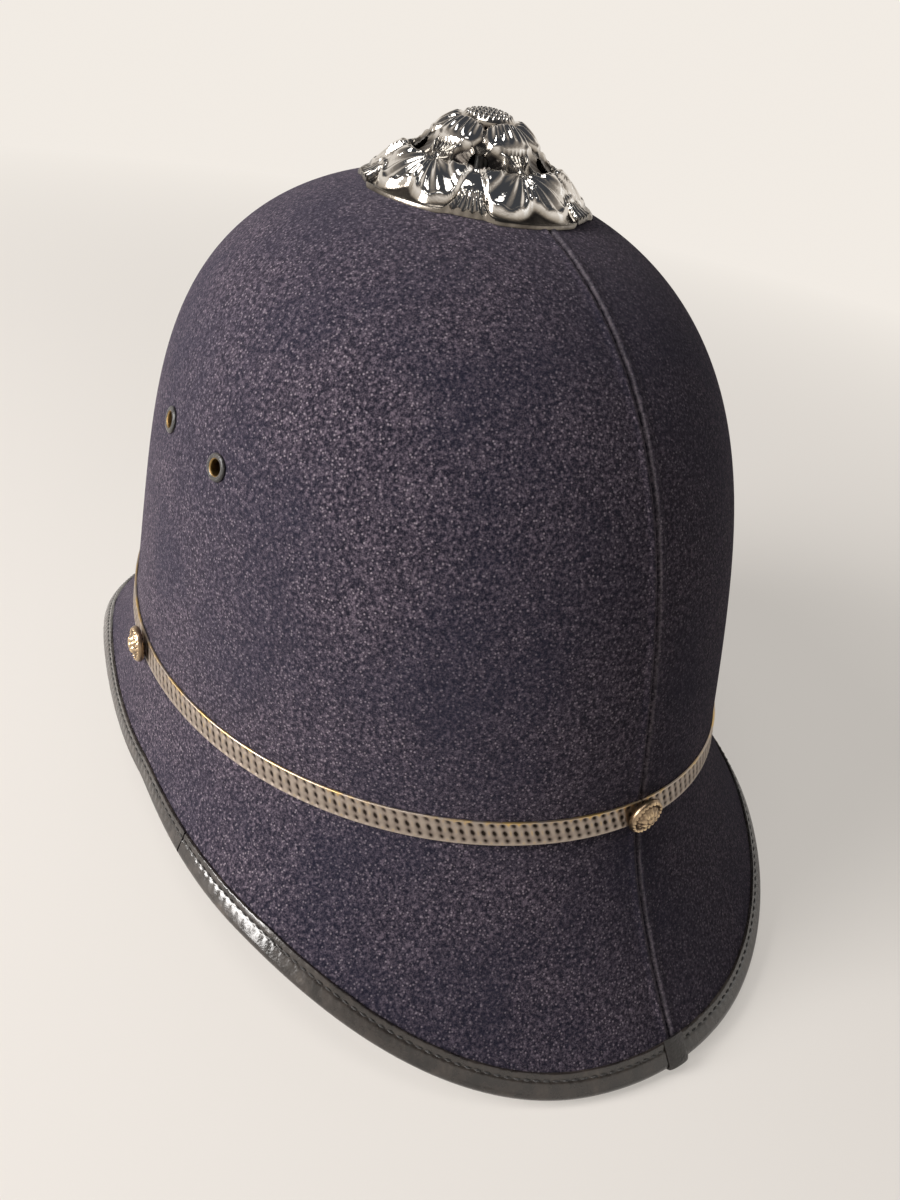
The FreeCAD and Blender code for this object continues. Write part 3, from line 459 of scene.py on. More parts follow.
def boardMaterial():
    material, shader = startMaterial("caneBoard", (0.40, 0.29, 0.17), 0.7)
    coords = objectCoords(material)
    stretched = addNode(material, "ShaderNodeMapping", {"Vector": coords, "Scale": (1, 1, 9)}).outputs[0]
    grain = noiseField(material, stretched, 120, 5, 0.6)
    linkTo(material, rampField(material, grain, [(0.35, (0.24, 0.15, 0.08)), (0.65, (0.48, 0.36, 0.22))]),
           shader, "Base Color")
    addBump(material, shader, grain, 0.0003, 0.5)
    return material


def feltMaterial():
    material, shader = startMaterial("greyFelt", (0.36, 0.34, 0.30), 0.95, Sheen_Weight=0.3)
    coords = objectCoords(material)
    fibre = noiseField(material, coords, 900, 6, 0.8, 1.5)
    linkTo(material, rampField(material, fibre, [(0.35, (0.20, 0.19, 0.17)), (0.65, (0.52, 0.50, 0.45))]),
           shader, "Base Color")
    addBump(material, shader, fibre, 0.0006, 0.8)
    return material


def laceMaterial():
    material, shader = startMaterial("blackLace", (0.02, 0.02, 0.022), 0.8, Sheen_Weight=0.2)
    coords = objectCoords(material)
    weave = addNode(material, "ShaderNodeTexWave", {"Vector": coords, "Scale": 420, "Distortion": 1.0},
                    bands_direction="DIAGONAL").outputs["Fac"]
    linkTo(material, rampField(material, weave, [(0.3, (0.008, 0.008, 0.01)), (0.7, (0.05, 0.05, 0.055))]),
           shader, "Base Color")
    addBump(material, shader, weave, 0.0003, 0.8)
    return material


def threadMaterial(name, dark, light):
    material, shader = startMaterial(name, light, 0.7, Sheen_Weight=0.2)
    twist = noiseField(material, objectCoords(material), 2200, 3)
    linkTo(material, rampField(material, twist, [(0.3, dark), (0.7, light)]), shader, "Base Color")
    addBump(material, shader, twist, 0.0001, 0.6)
    return material


navyMelton = clothMaterial()
patentLeather = bindingMaterial()
liningCloth = leatherMaterial("liningCloth", (0.012, 0.012, 0.013), (0.022, 0.021, 0.022),
                              (0.04, 0.038, 0.038), 0.5, 900)
sweatLeather = leatherMaterial("sweatLeather", (0.16, 0.075, 0.03), (0.27, 0.135, 0.06), (0.38, 0.21, 0.10),
                               0.5, 700)
strapLeather = leatherMaterial("strapLeather", (0.010, 0.009, 0.009), (0.02, 0.017, 0.016),
                               (0.05, 0.04, 0.034), 0.42, 800, 0.25)
# in these two metals the dark colour is painted shade for the hollows and the bright colour a painted
# highlight for the raised relief; the last colour is worn-through metal
bandNickel = reliefMetal("bandNickel", (0.024, 0.018, 0.014), (0.21, 0.172, 0.145), (0.44, 0.375, 0.32),
                         (0.70, 0.47, 0.16), 0.36)
bossBrass = reliefMetal("bossBrass", (0.014, 0.009, 0.007), (0.13, 0.088, 0.058), (0.42, 0.31, 0.20),
                        (0.72, 0.55, 0.34), 0.25)
roseChrome = chromeMaterial()
platedSteel = steelMaterial()
buckleBrass = brassMaterial("buckleBrass", (0.24, 0.15, 0.05), (0.68, 0.50, 0.22), 0.26)
eyeletBrass = brassMaterial("eyeletBrass", (0.12, 0.07, 0.03), (0.45, 0.31, 0.13), 0.32)
eyeletJapan = leatherMaterial("eyeletJapan", (0.006, 0.006, 0.006), (0.012, 0.011, 0.011), (0.10, 0.08, 0.06),
                              0.34, 1500, 0.5)
pressedCork = corkMaterial()
caneBoard = boardMaterial()
greyFelt = feltMaterial()
blackLace = laceMaterial()
blackThread = threadMaterial("blackThread", (0.008, 0.008, 0.008), (0.035, 0.032, 0.03))
tanThread = threadMaterial("tanThread", (0.20, 0.12, 0.06), (0.42, 0.30, 0.17))
print("materials made")

# cloth: two halves that meet in a welted seam at the back and front
clothCut = {
    "turnRows": 200, "brimColumns": 56, "crownColumns": 120, "innerColumns": 10,
    "weltOffset": 1.7 * mm, "weltWidth": 1.2 * mm, "weltRise": 0.5 * mm, "valleyWidth": 0.55 * mm,
    "valleyDepth": 0.55 * mm, "seamGap": 0.1 * mm, "eyeletHole": 2.9 * mm,
    # the three seam entries on the next line place and weigh a painted highlight beside the seam
    "seamHighlightPlace": 0.8 * mm, "seamHighlightWidth": 0.45 * mm, "seamHighlightShare": 0.6, "flat": (0.30, 0.44), "area": 0.071,
}
eyeletPlace = {"level": 1 - (1 - 0.52) ** (1 / 2.2), "turns": (math.radians(-8.4), math.radians(9.6))}


def clothHalf(name, side, node):
    cut = clothCut
    u = np.linspace(-1, 1, cut["turnRows"] + 1)
    turns = np.radians(90) * np.sin(u * np.pi / 2)
    top = levelAtRadius(turns, shell["ventRadius"] + 0.1 * mm)
    rows = []
    for turn, end in zip(turns, top):
        outer = np.concatenate([np.linspace(-1, 0, cut["brimColumns"], endpoint=False),
                                np.linspace(0, end, cut["crownColumns"] + 1)])
        inner = np.concatenate([np.linspace(end, 0, cut["innerColumns"] + 1),
                                np.linspace(0, -1, cut["innerColumns"] + 1)[1:]])
        level = np.concatenate([outer, inner])
        across = np.abs(helmetSkin(turn, outer)[:, 0])
        lift = cut["weltRise"] * bell(across - cut["weltOffset"], cut["weltWidth"])
        lift -= cut["valleyDepth"] * bell(across, cut["valleyWidth"])
        lift *= smoothStep(outer, -0.995, -0.90)
        lift = np.concatenate([lift, np.full(len(inner), -shell["cloth"])])
        points = helmetLayer(turn, level, lift)
        points[:, 0] = np.maximum(points[:, 0], cut["seamGap"] / 2)
        rows.append(np.concatenate([points, points[:1]]))
    grid = np.array(rows)
    grid[..., 0] *= side
    piece = shapedGrid(name, grid)
    for turn in eyeletPlace["turns"]:
        point = helmetSkin(turn, eyeletPlace["level"])
        normal = helmetNormal(turn, eyeletPlace["level"])
        point[0] *= side
        normal[0] *= side
        cutWith(piece, addCylinder(point, facing(normal), cut["eyeletHole"], 12 * mm, 40))
    # shade along each side of the seam valley: a painted highlight standing for fuzz that catches the light
    beside = np.abs(vertexArray(piece)[:, 0])
    storeShade(piece, cut["seamHighlightShare"] * bell(beside - cut["seamHighlightPlace"], cut["seamHighlightWidth"]))
    creaseSmooth(piece, 50)
    finishPiece(piece, navyMelton, nodes=[node])
    return piece


clothHalf("clothHalfLeft", 1, "cover_panel_left")
clothHalf("clothHalfRight", -1, "cover_panel_right")
print("cloth made")

# thin leathercloth under the brim
liningCut = {"turnRows": 240, "columns": 24, "top": -0.14, "flat": (0.22, 0.62), "area": 0.0465}


def liningRing():
    cut = liningCut
    turns = np.linspace(-np.pi / 2, 1.5 * np.pi, cut["turnRows"] + 1)
    level = np.linspace(-1, cut["top"], cut["columns"] + 1)
    level = np.concatenate([level, level[::-1]])
    half = cut["columns"] + 1
    lift = liningOutside(level)
    lift[half:] -= shell["lining"]
    grid = helmetLayer(turns[:, None], level[None, :], np.broadcast_to(lift, (len(turns), len(level))))
    grid = np.concatenate([grid, grid[:, :1]], 1)
    grid[-1] = grid[0]
    piece = shapedGrid("brimLining", grid)
    creaseSmooth(piece, 50)
    finishPiece(piece, liningCloth, nodes=["under_brim_lining"])
    return piece


liningRing()
print("lining made")

# patent leather binding round the brim's edge, in three strips
bindingCut = {
    "flange": 7.0 * mm, "leather": 0.9 * mm, "slack": 0.45 * mm, "turnStep": 0.42, "stitchDown": 2.2 * mm,
    "grooveWidth": 0.55 * mm, "grooveDepth": 0.35 * mm, "stitchPitch": 3.1 * mm, "pucker": 0.22 * mm,
    "edgeRound": 0.35 * mm, "jointAngle": 17.0, "jointGap": 0.3, "wallEdge": 4.5 * mm,
}


def bindingFrame(turn):
    edge = helmetSkin(turn, -1.0)
    normal = helmetNormal(turn, -1.0)
    along = edge - helmetSkin(turn, -0.97)
    along /= np.linalg.norm(along, axis=-1, keepdims=True)
    along -= normal * np.sum(along * normal, -1, keepdims=True)
    along /= np.linalg.norm(along, axis=-1, keepdims=True)
    return edge, along, normal


def bindingOutline():
    cut = bindingCut
    near = shell["glue"]
    far = near + cut["leather"]
    low = -cut["wallEdge"] - cut["slack"]
    deep = low - cut["leather"]
    top = np.linspace(-cut["flange"], -0.8 * mm, 26)
    fromEdge = ((top[0] + cut["edgeRound"] - top) / cut["edgeRound"]).clip(0, 1)
    rounding = np.sqrt(np.clip(1 - fromEdge ** 2, 0, 1))
    outer = np.stack([top, near + 0.25 * mm + (cut["leather"] - 0.25 * mm) * rounding], -1)
    angles = np.radians(np.linspace(80, 0, 7))
    bend = 1.85 * mm
    corner = np.stack([far - bend + bend * np.cos(angles), far - bend + bend * np.sin(angles)], -1)
    lower = np.stack([far - bend + bend * np.cos(angles[::-1]),
                      deep + bend - bend * np.sin(angles[::-1])], -1)
    under = np.stack([np.linspace(-1.2 * mm, -cut["flange"], 9), np.full(9, deep)], -1)
    back = np.array([[-cut["flange"], low], [near - 1.5 * mm, low], [near, low + 1.5 * mm],
                     [near, near - 1.5 * mm], [near - 1.2 * mm, near], [-cut["flange"], near]])
    return np.concatenate([outer, corner, lower, under, back]), len(outer)


def edgeLength(turns):
    points = helmetSkin(turns, -1.0)
    steps = np.linalg.norm(np.diff(points, axis=0), axis=-1)
    return np.concatenate([[0], np.cumsum(steps)])


def bindingStrip(name, start, end, node):
    cut = bindingCut
    count = int((end - start) / cut["turnStep"])
    turns = np.radians(np.linspace(start, end, count + 1))
    outline, outerCount = bindingOutline()
    edge, along, normal = bindingFrame(turns)
    distance = edgeLength(turns)
    a = np.broadcast_to(outline[:, 0], (len(turns), len(outline))).copy()
    b = np.broadcast_to(outline[:, 1], (len(turns), len(outline))).copy()
    fromTop = a[:, :outerCount] + cut["flange"]
    wave = 2 * np.pi * distance[:, None] / cut["stitchPitch"]
    uneven = 0.7 + 0.3 * np.sin(distance[:, None] * 71 + 1.3 * np.sin(distance[:, None] * 23))
    groove = bell(fromTop - cut["stitchDown"], cut["grooveWidth"])
    dimple = 0.65 + 0.35 * np.cos(wave)
    below = smoothStep(fromTop, cut["stitchDown"], cut["stitchDown"] + 0.9 * mm)
    below *= 1 - smoothStep(fromTop, cut["stitchDown"] + 1.2 * mm, cut["flange"] - 1.0 * mm)
    above = smoothStep(fromTop, 0.1 * mm, 0.9 * mm) * (1 - smoothStep(fromTop, 1.2 * mm, cut["stitchDown"]))
    ripple = np.cos(wave + 0.8 * np.sin(distance[:, None] * 57)) * uneven
    b[:, :outerCount] += cut["pucker"] * ripple * (below + 0.45 * above)
    b[:, :outerCount] -= cut["grooveDepth"] * groove * dimple
    slow = 0.12 * mm * np.sin(distance[:, None] * 63) * np.sin(distance[:, None] * 29 + 1)
    b[:, :outerCount] += slow * smoothStep(fromTop, 2.5 * mm, 5 * mm)
    a[:, :4] += (0.12 * mm * np.sin(distance * 310) * np.sin(distance * 97))[:, None]
    points = edge[:, None] + along[:, None] * a[..., None] + normal[:, None] * b[..., None]
    points[..., 2] = np.maximum(points[..., 2], 0.0)
    points = np.concatenate([points, points[:, :1]], 1)
    piece = shapedGrid(name, points)
    creaseSmooth(piece, 60)
    return finishPiece(piece, patentLeather, nodes=[node])


def stitchRow(name, places, length, thick, material, body="helmet"):
    sides, rings = 5, 4
    faces, points = [], []
    for centre, along, out in places:
        side = np.cross(along, out)
        start = len(points)
        for i in range(rings + 1):
            t = i / rings
            arch = math.sin(math.pi * t)
            spot = centre + along * length * (t - 0.5) + out * (thick * 0.9 * arch - thick * 0.35)
            size = thick * (0.45 + 0.55 * arch)
            for k in range(sides):
                turn = 2 * math.pi * k / sides
                points.append(spot + (side * math.cos(turn) + out * math.sin(turn)) * size)
        for i in range(rings):
            for k in range(sides):
                near = start + i * sides + k
                far = start + i * sides + (k + 1) % sides
                faces.append((near, far, far + sides, near + sides))
        faces.append(tuple(start + k for k in reversed(range(sides))))
        faces.append(tuple(start + rings * sides + k for k in range(sides)))
    mesh = bpy.data.meshes.new(name)
    mesh.from_pydata([tuple(p) for p in points], [], faces)
    piece = bpy.data.objects.new(name, mesh)
    bpy.context.scene.collection.objects.link(piece)
    deselectAll()
    piece.select_set(True)
    bpy.context.view_layer.objects.active = piece
    bpy.ops.object.mode_set(mode="EDIT")
    bpy.ops.mesh.select_all(action="SELECT")
    bpy.ops.mesh.normals_make_consistent(inside=False)
    bpy.ops.object.mode_set(mode="OBJECT")
    bpy.ops.object.shade_smooth()
    piece.data.materials.append(material)
    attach(piece, body)
    return piece


def bindingStitches():
    cut = bindingCut
    fine = np.radians(np.linspace(-90, 270, 3601))
    distance = edgeLength(fine)
    stops = np.arange(0.5, int(distance[-1] / cut["stitchPitch"])) * cut["stitchPitch"]
    turns = np.interp(stops, distance, fine)
    edge, along, normal = bindingFrame(turns)
    ahead = helmetSkin(turns + 0.002, -1.0) - helmetSkin(turns - 0.002, -1.0)
    ahead /= np.linalg.norm(ahead, axis=-1, keepdims=True)
    rise = shell["glue"] + cut["leather"] - 0.22 * mm
    places = []
    for i in range(len(turns)):
        centre = edge[i] - along[i] * (cut["flange"] - cut["stitchDown"]) + normal[i] * rise
        places.append((centre, ahead[i], normal[i]))
    return stitchRow("bindingStitches", places, 2.3 * mm, 0.30 * mm, blackThread)


def bindingTab():
    cut = bindingCut
    turns = np.radians(np.linspace(88.5, 91.5, 13))
    edge, along, normal = bindingFrame(turns)
    lift = shell["glue"] + cut["leather"]
    near, far = lift + 0.1 * mm, lift + 0.75 * mm
    a = np.concatenate([np.linspace(-cut["flange"] - 0.8 * mm, 0.2 * mm, 18), np.full(5, 1.35 * mm)])
    b = np.concatenate([np.full(18, far), np.linspace(far - 0.5 * mm, -1.9 * mm, 5)])
    aBack = np.concatenate([np.full(3, 0.95 * mm), np.linspace(0.2 * mm, -cut["flange"] - 0.8 * mm, 6)])
    bBack = np.concatenate([np.linspace(-1.9 * mm, 0.2 * mm, 3), np.full(6, near)])
    a = np.concatenate([a, aBack])
    b = np.concatenate([b, bBack])
    side = np.linspace(-1, 1, len(turns))[:, None]
    bow = 0.35 * mm * (1 - side ** 2)
    outer = np.concatenate([np.ones(23), np.zeros(9)])[None, :]
    b = b[None, :] + bow * outer - 0.4 * mm * outer * np.abs(side) ** 6
    a = np.broadcast_to(a, b.shape)
    points = edge[:, None] + along[:, None] * a[..., None] + normal[:, None] * b[..., None]
    points[..., 2] = np.maximum(points[..., 2], 0.0)
    piece = shapedGrid("bindingTab", np.concatenate([points, points[:, :1]], 1))
    creaseSmooth(piece, 50)
    return finishPiece(piece, strapLeather, nodes=["binding_wrap"])


jointHalf = bindingCut["jointGap"] / 2
bindingStrip("bindingFront", -180 - bindingCut["jointAngle"] + jointHalf,
             bindingCut["jointAngle"] - jointHalf, "binding_front")
bindingStrip("bindingRearLeft", bindingCut["jointAngle"] + jointHalf, 90 - jointHalf / 2, "binding_rear_left")
bindingStrip("bindingRearRight", 90 + jointHalf / 2, 180 - bindingCut["jointAngle"] - jointHalf,
             "binding_rear_right")
bindingStitches()
bindingTab()
print("binding made")

# metal band pressed with a curb chain
bandCut = {
    "width": 7.5 * mm, "thick": 0.8 * mm, "joint": 0.3, "lift": 0.25 * mm, "turnRows": 2600, "columns": 17,
    "pitch": 3.1 * mm, "slant": 0.42, "relief": 0.55 * mm,
}


def chainRelief(distance, across):
    cut = bandCut
    phase = distance / cut["pitch"] + cut["slant"] * across
    bar = 0.5 + 0.5 * np.cos(2 * np.pi * phase)
    link = bar ** 0.55
    middlePit = bell(across + 0.02, 0.20) * bell((np.mod(phase, 1) - 0.5), 0.22)
    topPit = bell(across - 0.66, 0.17) * bell((np.mod(phase + 0.06, 1) - 0.5), 0.25)
    lowPit = bell(across + 0.66, 0.15) * bell((np.mod(phase - 0.06, 1) - 0.5), 0.22)
    swell = 0.80 + 0.20 * np.cos(np.pi * across * 2.2)
    height = 0.40 + 0.42 * link * swell - 0.75 * middlePit - 0.70 * topPit - 0.45 * lowPit
    inside = 1 - smoothStep(np.abs(across), 0.84, 0.90)
    edge = smoothStep(np.abs(across), 0.84, 0.90)
    return np.clip(height, 0, 1) * inside + 0.75 * edge


def stripEdges(turn):
    brimShare = bandCut["width"] / 2 / (bandHeight(turn) - edgeHeight(turn))
    crownShare = bandCut["width"] / 2 / (shell["top"] - bandHeight(turn))
    low = helmetSkin(turn, -brimShare)
    high = helmetSkin(turn, 1 - (1 - crownShare) ** (1 / shell["stepPower"]))
    return low, high


def chainBand():
    cut = bandCut
    turns = np.radians(np.linspace(90 + cut["joint"] / 2, 450 - cut["joint"] / 2, cut["turnRows"] + 1))
    low, high = stripEdges(turns)
    out = planNormal(turns)
    middle = (low + high) / 2
    distance = np.concatenate([[0], np.cumsum(np.linalg.norm(np.diff(middle, axis=0), axis=-1))])
    across = np.concatenate([[-1, -0.97, -0.9], np.linspace(-0.8, 0.8, cut["columns"]), [0.9, 0.97, 1]])
    height = chainRelief(distance[:, None], across[None, :])
    height[:, [0, -1]] *= 0.4
    lift = cut["lift"] + cut["thick"] * 0.25 + cut["relief"] * height
    share = (across[None, :, None] + 1) / 2
    front = low[:, None] * (1 - share) + high[:, None] * share + out[:, None] * lift[..., None]
    back = np.stack([line + out * cut["lift"] for line in (high, middle, low)], 1)
    grid = np.concatenate([front, back, front[:, :1]], 1)
    piece = shapedGrid("chainBand", grid, 5e-6)
    points = vertexArray(piece)
    turn = np.mod(np.arctan2(points[:, 1] / halfLength(np.arctan2(points[:, 1], points[:, 0])),
                             points[:, 0] / shell["halfWidth"]), 2 * np.pi)
    turn = np.where(turn < np.pi / 2, turn + 2 * np.pi, turn)
    lowPoint, highPoint = stripEdges(turn)
    axis = highPoint - lowPoint
    spot = points - lowPoint
    place = np.sum(spot * axis, -1) / np.sum(axis * axis, -1) * 2 - 1
    run = np.interp(turn, turns, distance)
    # the shade attribute paints shade into the chain's pits and highlight onto its raised links; the rims get
    # one fixed light tone and the band grows lighter towards its top edge
    shade = chainRelief(run, np.clip(place, -1, 1))
    shade = np.where(np.abs(place) > 0.86, 0.72, shade) + 0.18 * np.clip(place, 0, 1)
    storeShade(piece, shade)
    creaseSmooth(piece, 70)
    return finishPiece(piece, bandNickel, nodes=["hat_band"])


chainBand()
print("band made")

# brass bosses: beaded rim, hollow and small rosette
bossCut = {
    "radius": 6.1 * mm, "height": 4.2 * mm, "gap": 0.8 * mm, "beads": 22, "beadRing": 5.25 * mm,
    "beadRise": 0.45 * mm, "petals": 8, "sideTurn": -8.7, "angles": 176,
}


def bossHeight(radius, turn):
    cut = bossCut
    r = radius / cut["radius"]
    dome = np.interp(r, [0, 0.16, 0.30, 0.44, 0.60, 0.74, 0.86, 0.95, 1.0],
                     np.array([4.2, 4.0, 3.55, 3.0, 2.3, 1.95, 2.1, 1.95, 1.45]) * mm)
    beadPhase = 0.5 + 0.5 * np.cos(cut["beads"] * turn)
    bead = cut["beadRise"] * np.sqrt(beadPhase) * bell(radius - cut["beadRing"], 0.42 * mm)
    petal = 0.5 + 0.5 * np.cos(cut["petals"] * turn)
    rosette = 0.50 * mm * petal * bell(r - 0.40, 0.14) - 0.35 * mm * bell(r - 0.235, 0.05)
    rosette += 0.30 * mm * (0.5 + 0.5 * np.cos(2 * cut["petals"] * turn)) * bell(r - 0.62, 0.06)
    return dome + bead + rosette - 0.35 * mm * bell(r - 0.73, 0.045)


def pressedBoss(name, turn, node):
    cut = bossCut
    low, high = stripEdges(np.array(turn))
    out = planNormal(np.array(turn))
    origin = (low + high) / 2 + out * (cut["gap"] + shell["glue"] + 0.1 * mm + bandCut["thick"])
    radii = np.concatenate([np.linspace(0, cut["radius"], 44), [cut["radius"], cut["radius"] - 0.5 * mm, 0]])
    angles = np.linspace(0, 2 * np.pi, cut["angles"] + 1)
    height = bossHeight(radii[None, :44], angles[:, None])
    height = np.concatenate([height, np.broadcast_to([0.6 * mm, 0, 0], (len(angles), 3))], 1)
    x = radii[None, :] * np.cos(angles[:, None])
    y = radii[None, :] * np.sin(angles[:, None])
    local = np.stack([x, y, height], -1)
    local[-1] = local[0]
    up = np.array([0, 0, 1.0])
    across = np.cross(up, out)
    grid = origin + local[..., :1] * across + local[..., 1:2] * up + local[..., 2:] * out
    piece = shapedGrid(name, grid)
    spot = vertexArray(piece) - origin
    x, y = spot @ across, spot @ up
    radius, around = np.hypot(x, y), np.arctan2(y, x)
    # shade attribute: painted shade where the relief dips below the plain dome and painted highlight where it
    # rises, on the beads and petals; the rim gets one fixed middle tone
    smooth = np.interp(radius / cut["radius"], [0, 0.4, 0.75, 0.9, 1],
                       np.array([4.0, 3.0, 1.9, 1.9, 1.6]) * mm)
    shade = 0.5 + (bossHeight(radius, around) - smooth) / (0.9 * mm)
    storeShade(piece, np.where(radius > cut["radius"] * 0.985, 0.6, np.clip(shade, 0, 1)))
    creaseSmooth(piece, 70)
    return finishPiece(piece, bossBrass, nodes=[node])


sideTurn = math.radians(bossCut["sideTurn"])
pressedBoss("rearBoss", math.pi / 2, "rear_boss")
pressedBoss("leftBoss", sideTurn, "left_boss")
pressedBoss("rightBoss", math.pi - sideTurn, "right_boss")
print("bosses made")

# vent eyelets: rolled flange outside, barrel through the wall
eyeletCut = {"hole": 2.3 * mm, "wall": 0.5 * mm, "flange": 4.1 * mm, "rise": 0.95 * mm, "depth": 6.1 * mm}


def eyeletRing(turn, side):
    cut = eyeletCut
    point = helmetSkin(turn, eyeletPlace["level"])
    normal = helmetNormal(turn, eyeletPlace["level"])
    point[0] *= side
    normal[0] *= side
    barrel = cut["hole"] + cut["wall"]
    arc = np.radians(np.linspace(0, 180, 15))
    middle, half = (cut["hole"] + cut["flange"]) / 2, (cut["flange"] - cut["hole"]) / 2
    radii = np.concatenate([[cut["hole"], cut["hole"]], middle - half * np.cos(arc),
                            [cut["flange"] - 0.2 * mm], [barrel, barrel]])
    heights = np.concatenate([[-cut["depth"], -1.0 * mm], 0.25 * mm + (cut["rise"] - 0.25 * mm) * np.sin(arc),
                              [0.1 * mm], [0.1 * mm, -cut["depth"]]])
    radii = np.append(radii, radii[0])
    heights = np.append(heights, heights[0])
    angles = np.linspace(0, 2 * np.pi, 65)
    angles[-1] = 0
    frameMatrix = Vector(normal).to_track_quat("Z", "Y").to_matrix()
    axes = np.array(frameMatrix)
    local = np.stack([radii * np.cos(angles[:, None]), radii * np.sin(angles[:, None]),
                      np.broadcast_to(heights, (65, len(heights)))], -1)
    piece = shapedGrid("eyelet", point + local @ axes.T)
    piece.data.materials.append(eyeletJapan)
    piece.data.materials.append(eyeletBrass)
    for polygon in piece.data.polygons:
        spot = np.array(polygon.center) - point
        radius = np.linalg.norm(spot - normal * (spot @ normal))
        polygon.material_index = 1 if radius < cut["hole"] + 0.32 * mm else 0
    return piece


def eyeletPair(name, side, node):
    pair = joinPieces(name, [eyeletRing(turn, side) for turn in eyeletPlace["turns"]])
    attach(pair, "helmet")
    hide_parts(node)
    return pair


eyeletPair("eyeletsLeft", 1, "vent_eyelets_left")
eyeletPair("eyeletsRight", -1, "vent_eyelets_right")
print("eyelets made")

# rose: five ribbed outer petals, five sepals with vents above them, five inner petals
roseCut = {
    "radius": 36.2 * mm, "height": 19.0 * mm, "mouth": 7.4 * mm, "sheet": 0.8 * mm, "turn": 50.0,
    "ventRing": 19.8 * mm, "ventShare": 0.64, "ventRadius": 2.9 * mm, "ventLean": 1.35, "drawnIn": 1.9,
    # the last entry of the next line sets the painted shade laid on the outer flange
    "flangeFrom": 34.0 * mm, "flangeFade": 1.2 * mm, "flangePaintedShade": 0.7,
    "underColumns": 14, "underBow": 1.3 * mm, "angles": 500, "columns": 84,
}
roseProfile = ([0.20, 0.28, 0.42, 0.53, 0.62, 0.72, 0.82, 0.90, 1.0],
               [1.0, 0.965, 0.83, 0.66, 0.53, 0.37, 0.22, 0.105, 0.0])


def roseSeat(turn):
    spotX = roseCut["radius"] * np.cos(turn)
    around = np.arctan2(roseCut["radius"] * np.sin(turn) / halfLength(turn), spotX / shell["halfWidth"])
    level = levelAtRadius(around, roseCut["radius"])
    return helmetSkin(around, level)[..., 2]


def roseRelief(radius, phi):
    cut = roseCut
    r = radius / mm
    r = r + cut["drawnIn"] * smoothStep(r, 6, 14) * (1 - smoothStep(r, 22, 31))
    lateral = r * phi
    psi = np.radians(36) - np.abs(phi)
    side = r * psi
    petal = np.cos(np.clip(2.5 * psi, 0, np.pi / 2))
    innerEdge = 18.6 - 3.6 * bell(phi, 0.13)
    rise = np.clip(1 - ((r - innerEdge + 6.2) / 6.2) ** 2, 0, 1)
    inner = 2.6 * np.sqrt(rise) * petal ** 0.7
    folded = smoothStep(r, 9, 12) * (1 - smoothStep(r, innerEdge - 3, innerEdge - 0.6))
    inner += 0.30 * np.cos(34 * psi) * folded
    shelf = -0.9 * smoothStep(r, innerEdge - 0.5, innerEdge + 0.5) * (1 - smoothStep(r, 23, 29))
    # scrolled hollow round each vent
    scroll = np.hypot(np.abs(lateral) - 4.6, r - 22.3)
    hollow = -0.9 * bell(scroll, 3.3)
    hollow += 0.75 * bell(scroll - 4.3, 0.55) * smoothStep(np.abs(lateral), 0.5, 2.5)
    hollow *= 1 - smoothStep(r, 25.5, 27)
    hollow += 0.12 * np.cos(16 * np.arctan2(r - 22.3, np.abs(lateral) - 1.0)) * bell(scroll, 3.4)
    # smooth bulge under each vent
    bulge = np.clip(1 - (lateral / 8.6) ** 2 - ((r - 27.0 + 0.02 * lateral ** 2) / 3.3) ** 2, 0, 1)
    swell = 2.3 * bulge ** 0.6
    # sepal fan from the bulge to the rim
    fan = np.arctan2(lateral, r - 23.5)
    inFan = (1 - smoothStep(np.abs(fan), 0.40, 0.50)) * smoothStep(r, 28.4, 30.2)
    sepal = inFan * (0.50 + 0.45 * np.cos(27 * fan))
    sepal += 0.8 * bell(np.abs(fan) - 0.46, 0.05) * smoothStep(r, 29, 31)
    # outer petals: ribs spread from a waist into two lobes with a rolled rim
    waist = 23.2
    spread = np.arctan2(side, r - waist)
    rim = 31.6 + 1.5 * bell(psi - 0.26, 0.13) - 2.0 * bell(psi, 0.085) - 7.5 * smoothStep(psi, 0.40, 0.60)
    inLobe = (1 - smoothStep(r, rim - 0.5, rim + 0.3)) * smoothStep(r, waist - 1.0, waist + 1.5)
    inLobe *= 1 - smoothStep(psi, 0.47, 0.56)
    lobe = np.sin(np.pi * np.clip((r - waist) / (rim - waist), 0, 1)) * (0.35 + 0.65 * bell(psi - 0.25, 0.20))
    ribs = 0.34 * np.cos(21 * spread)
    petals = inLobe * (1.5 * lobe + ribs + 0.55)
    roll = 1.15 * bell(r - rim, 0.62) * (1 - smoothStep(psi, 0.50, 0.58))
    inUpper = (1 - smoothStep(r, waist - 0.8, waist + 0.8)) * smoothStep(r, 18.0, 19.4)
    inUpper *= 1 - smoothStep(side, 1.2 + (waist - r) * 1.15, 2.4 + (waist - r) * 1.15)
    upper = inUpper * (0.7 + 0.30 * np.cos(24 * np.arctan2(side, waist + 1.2 - r)))
    knot = 0.7 * np.exp(-(side ** 2 + (r - waist) ** 2) / 0.7)
    flange = -1.0 * smoothStep(r, rim + 0.2, rim + 1.4) * (1 - smoothStep(r, 34.4, 35.8)) * (1 - inFan)
    lip = 0.35 * bell(r - 35.6, 0.5)
    return (inner + shelf + hollow + swell + sepal + petals + roll + upper + knot + flange + lip) * mm


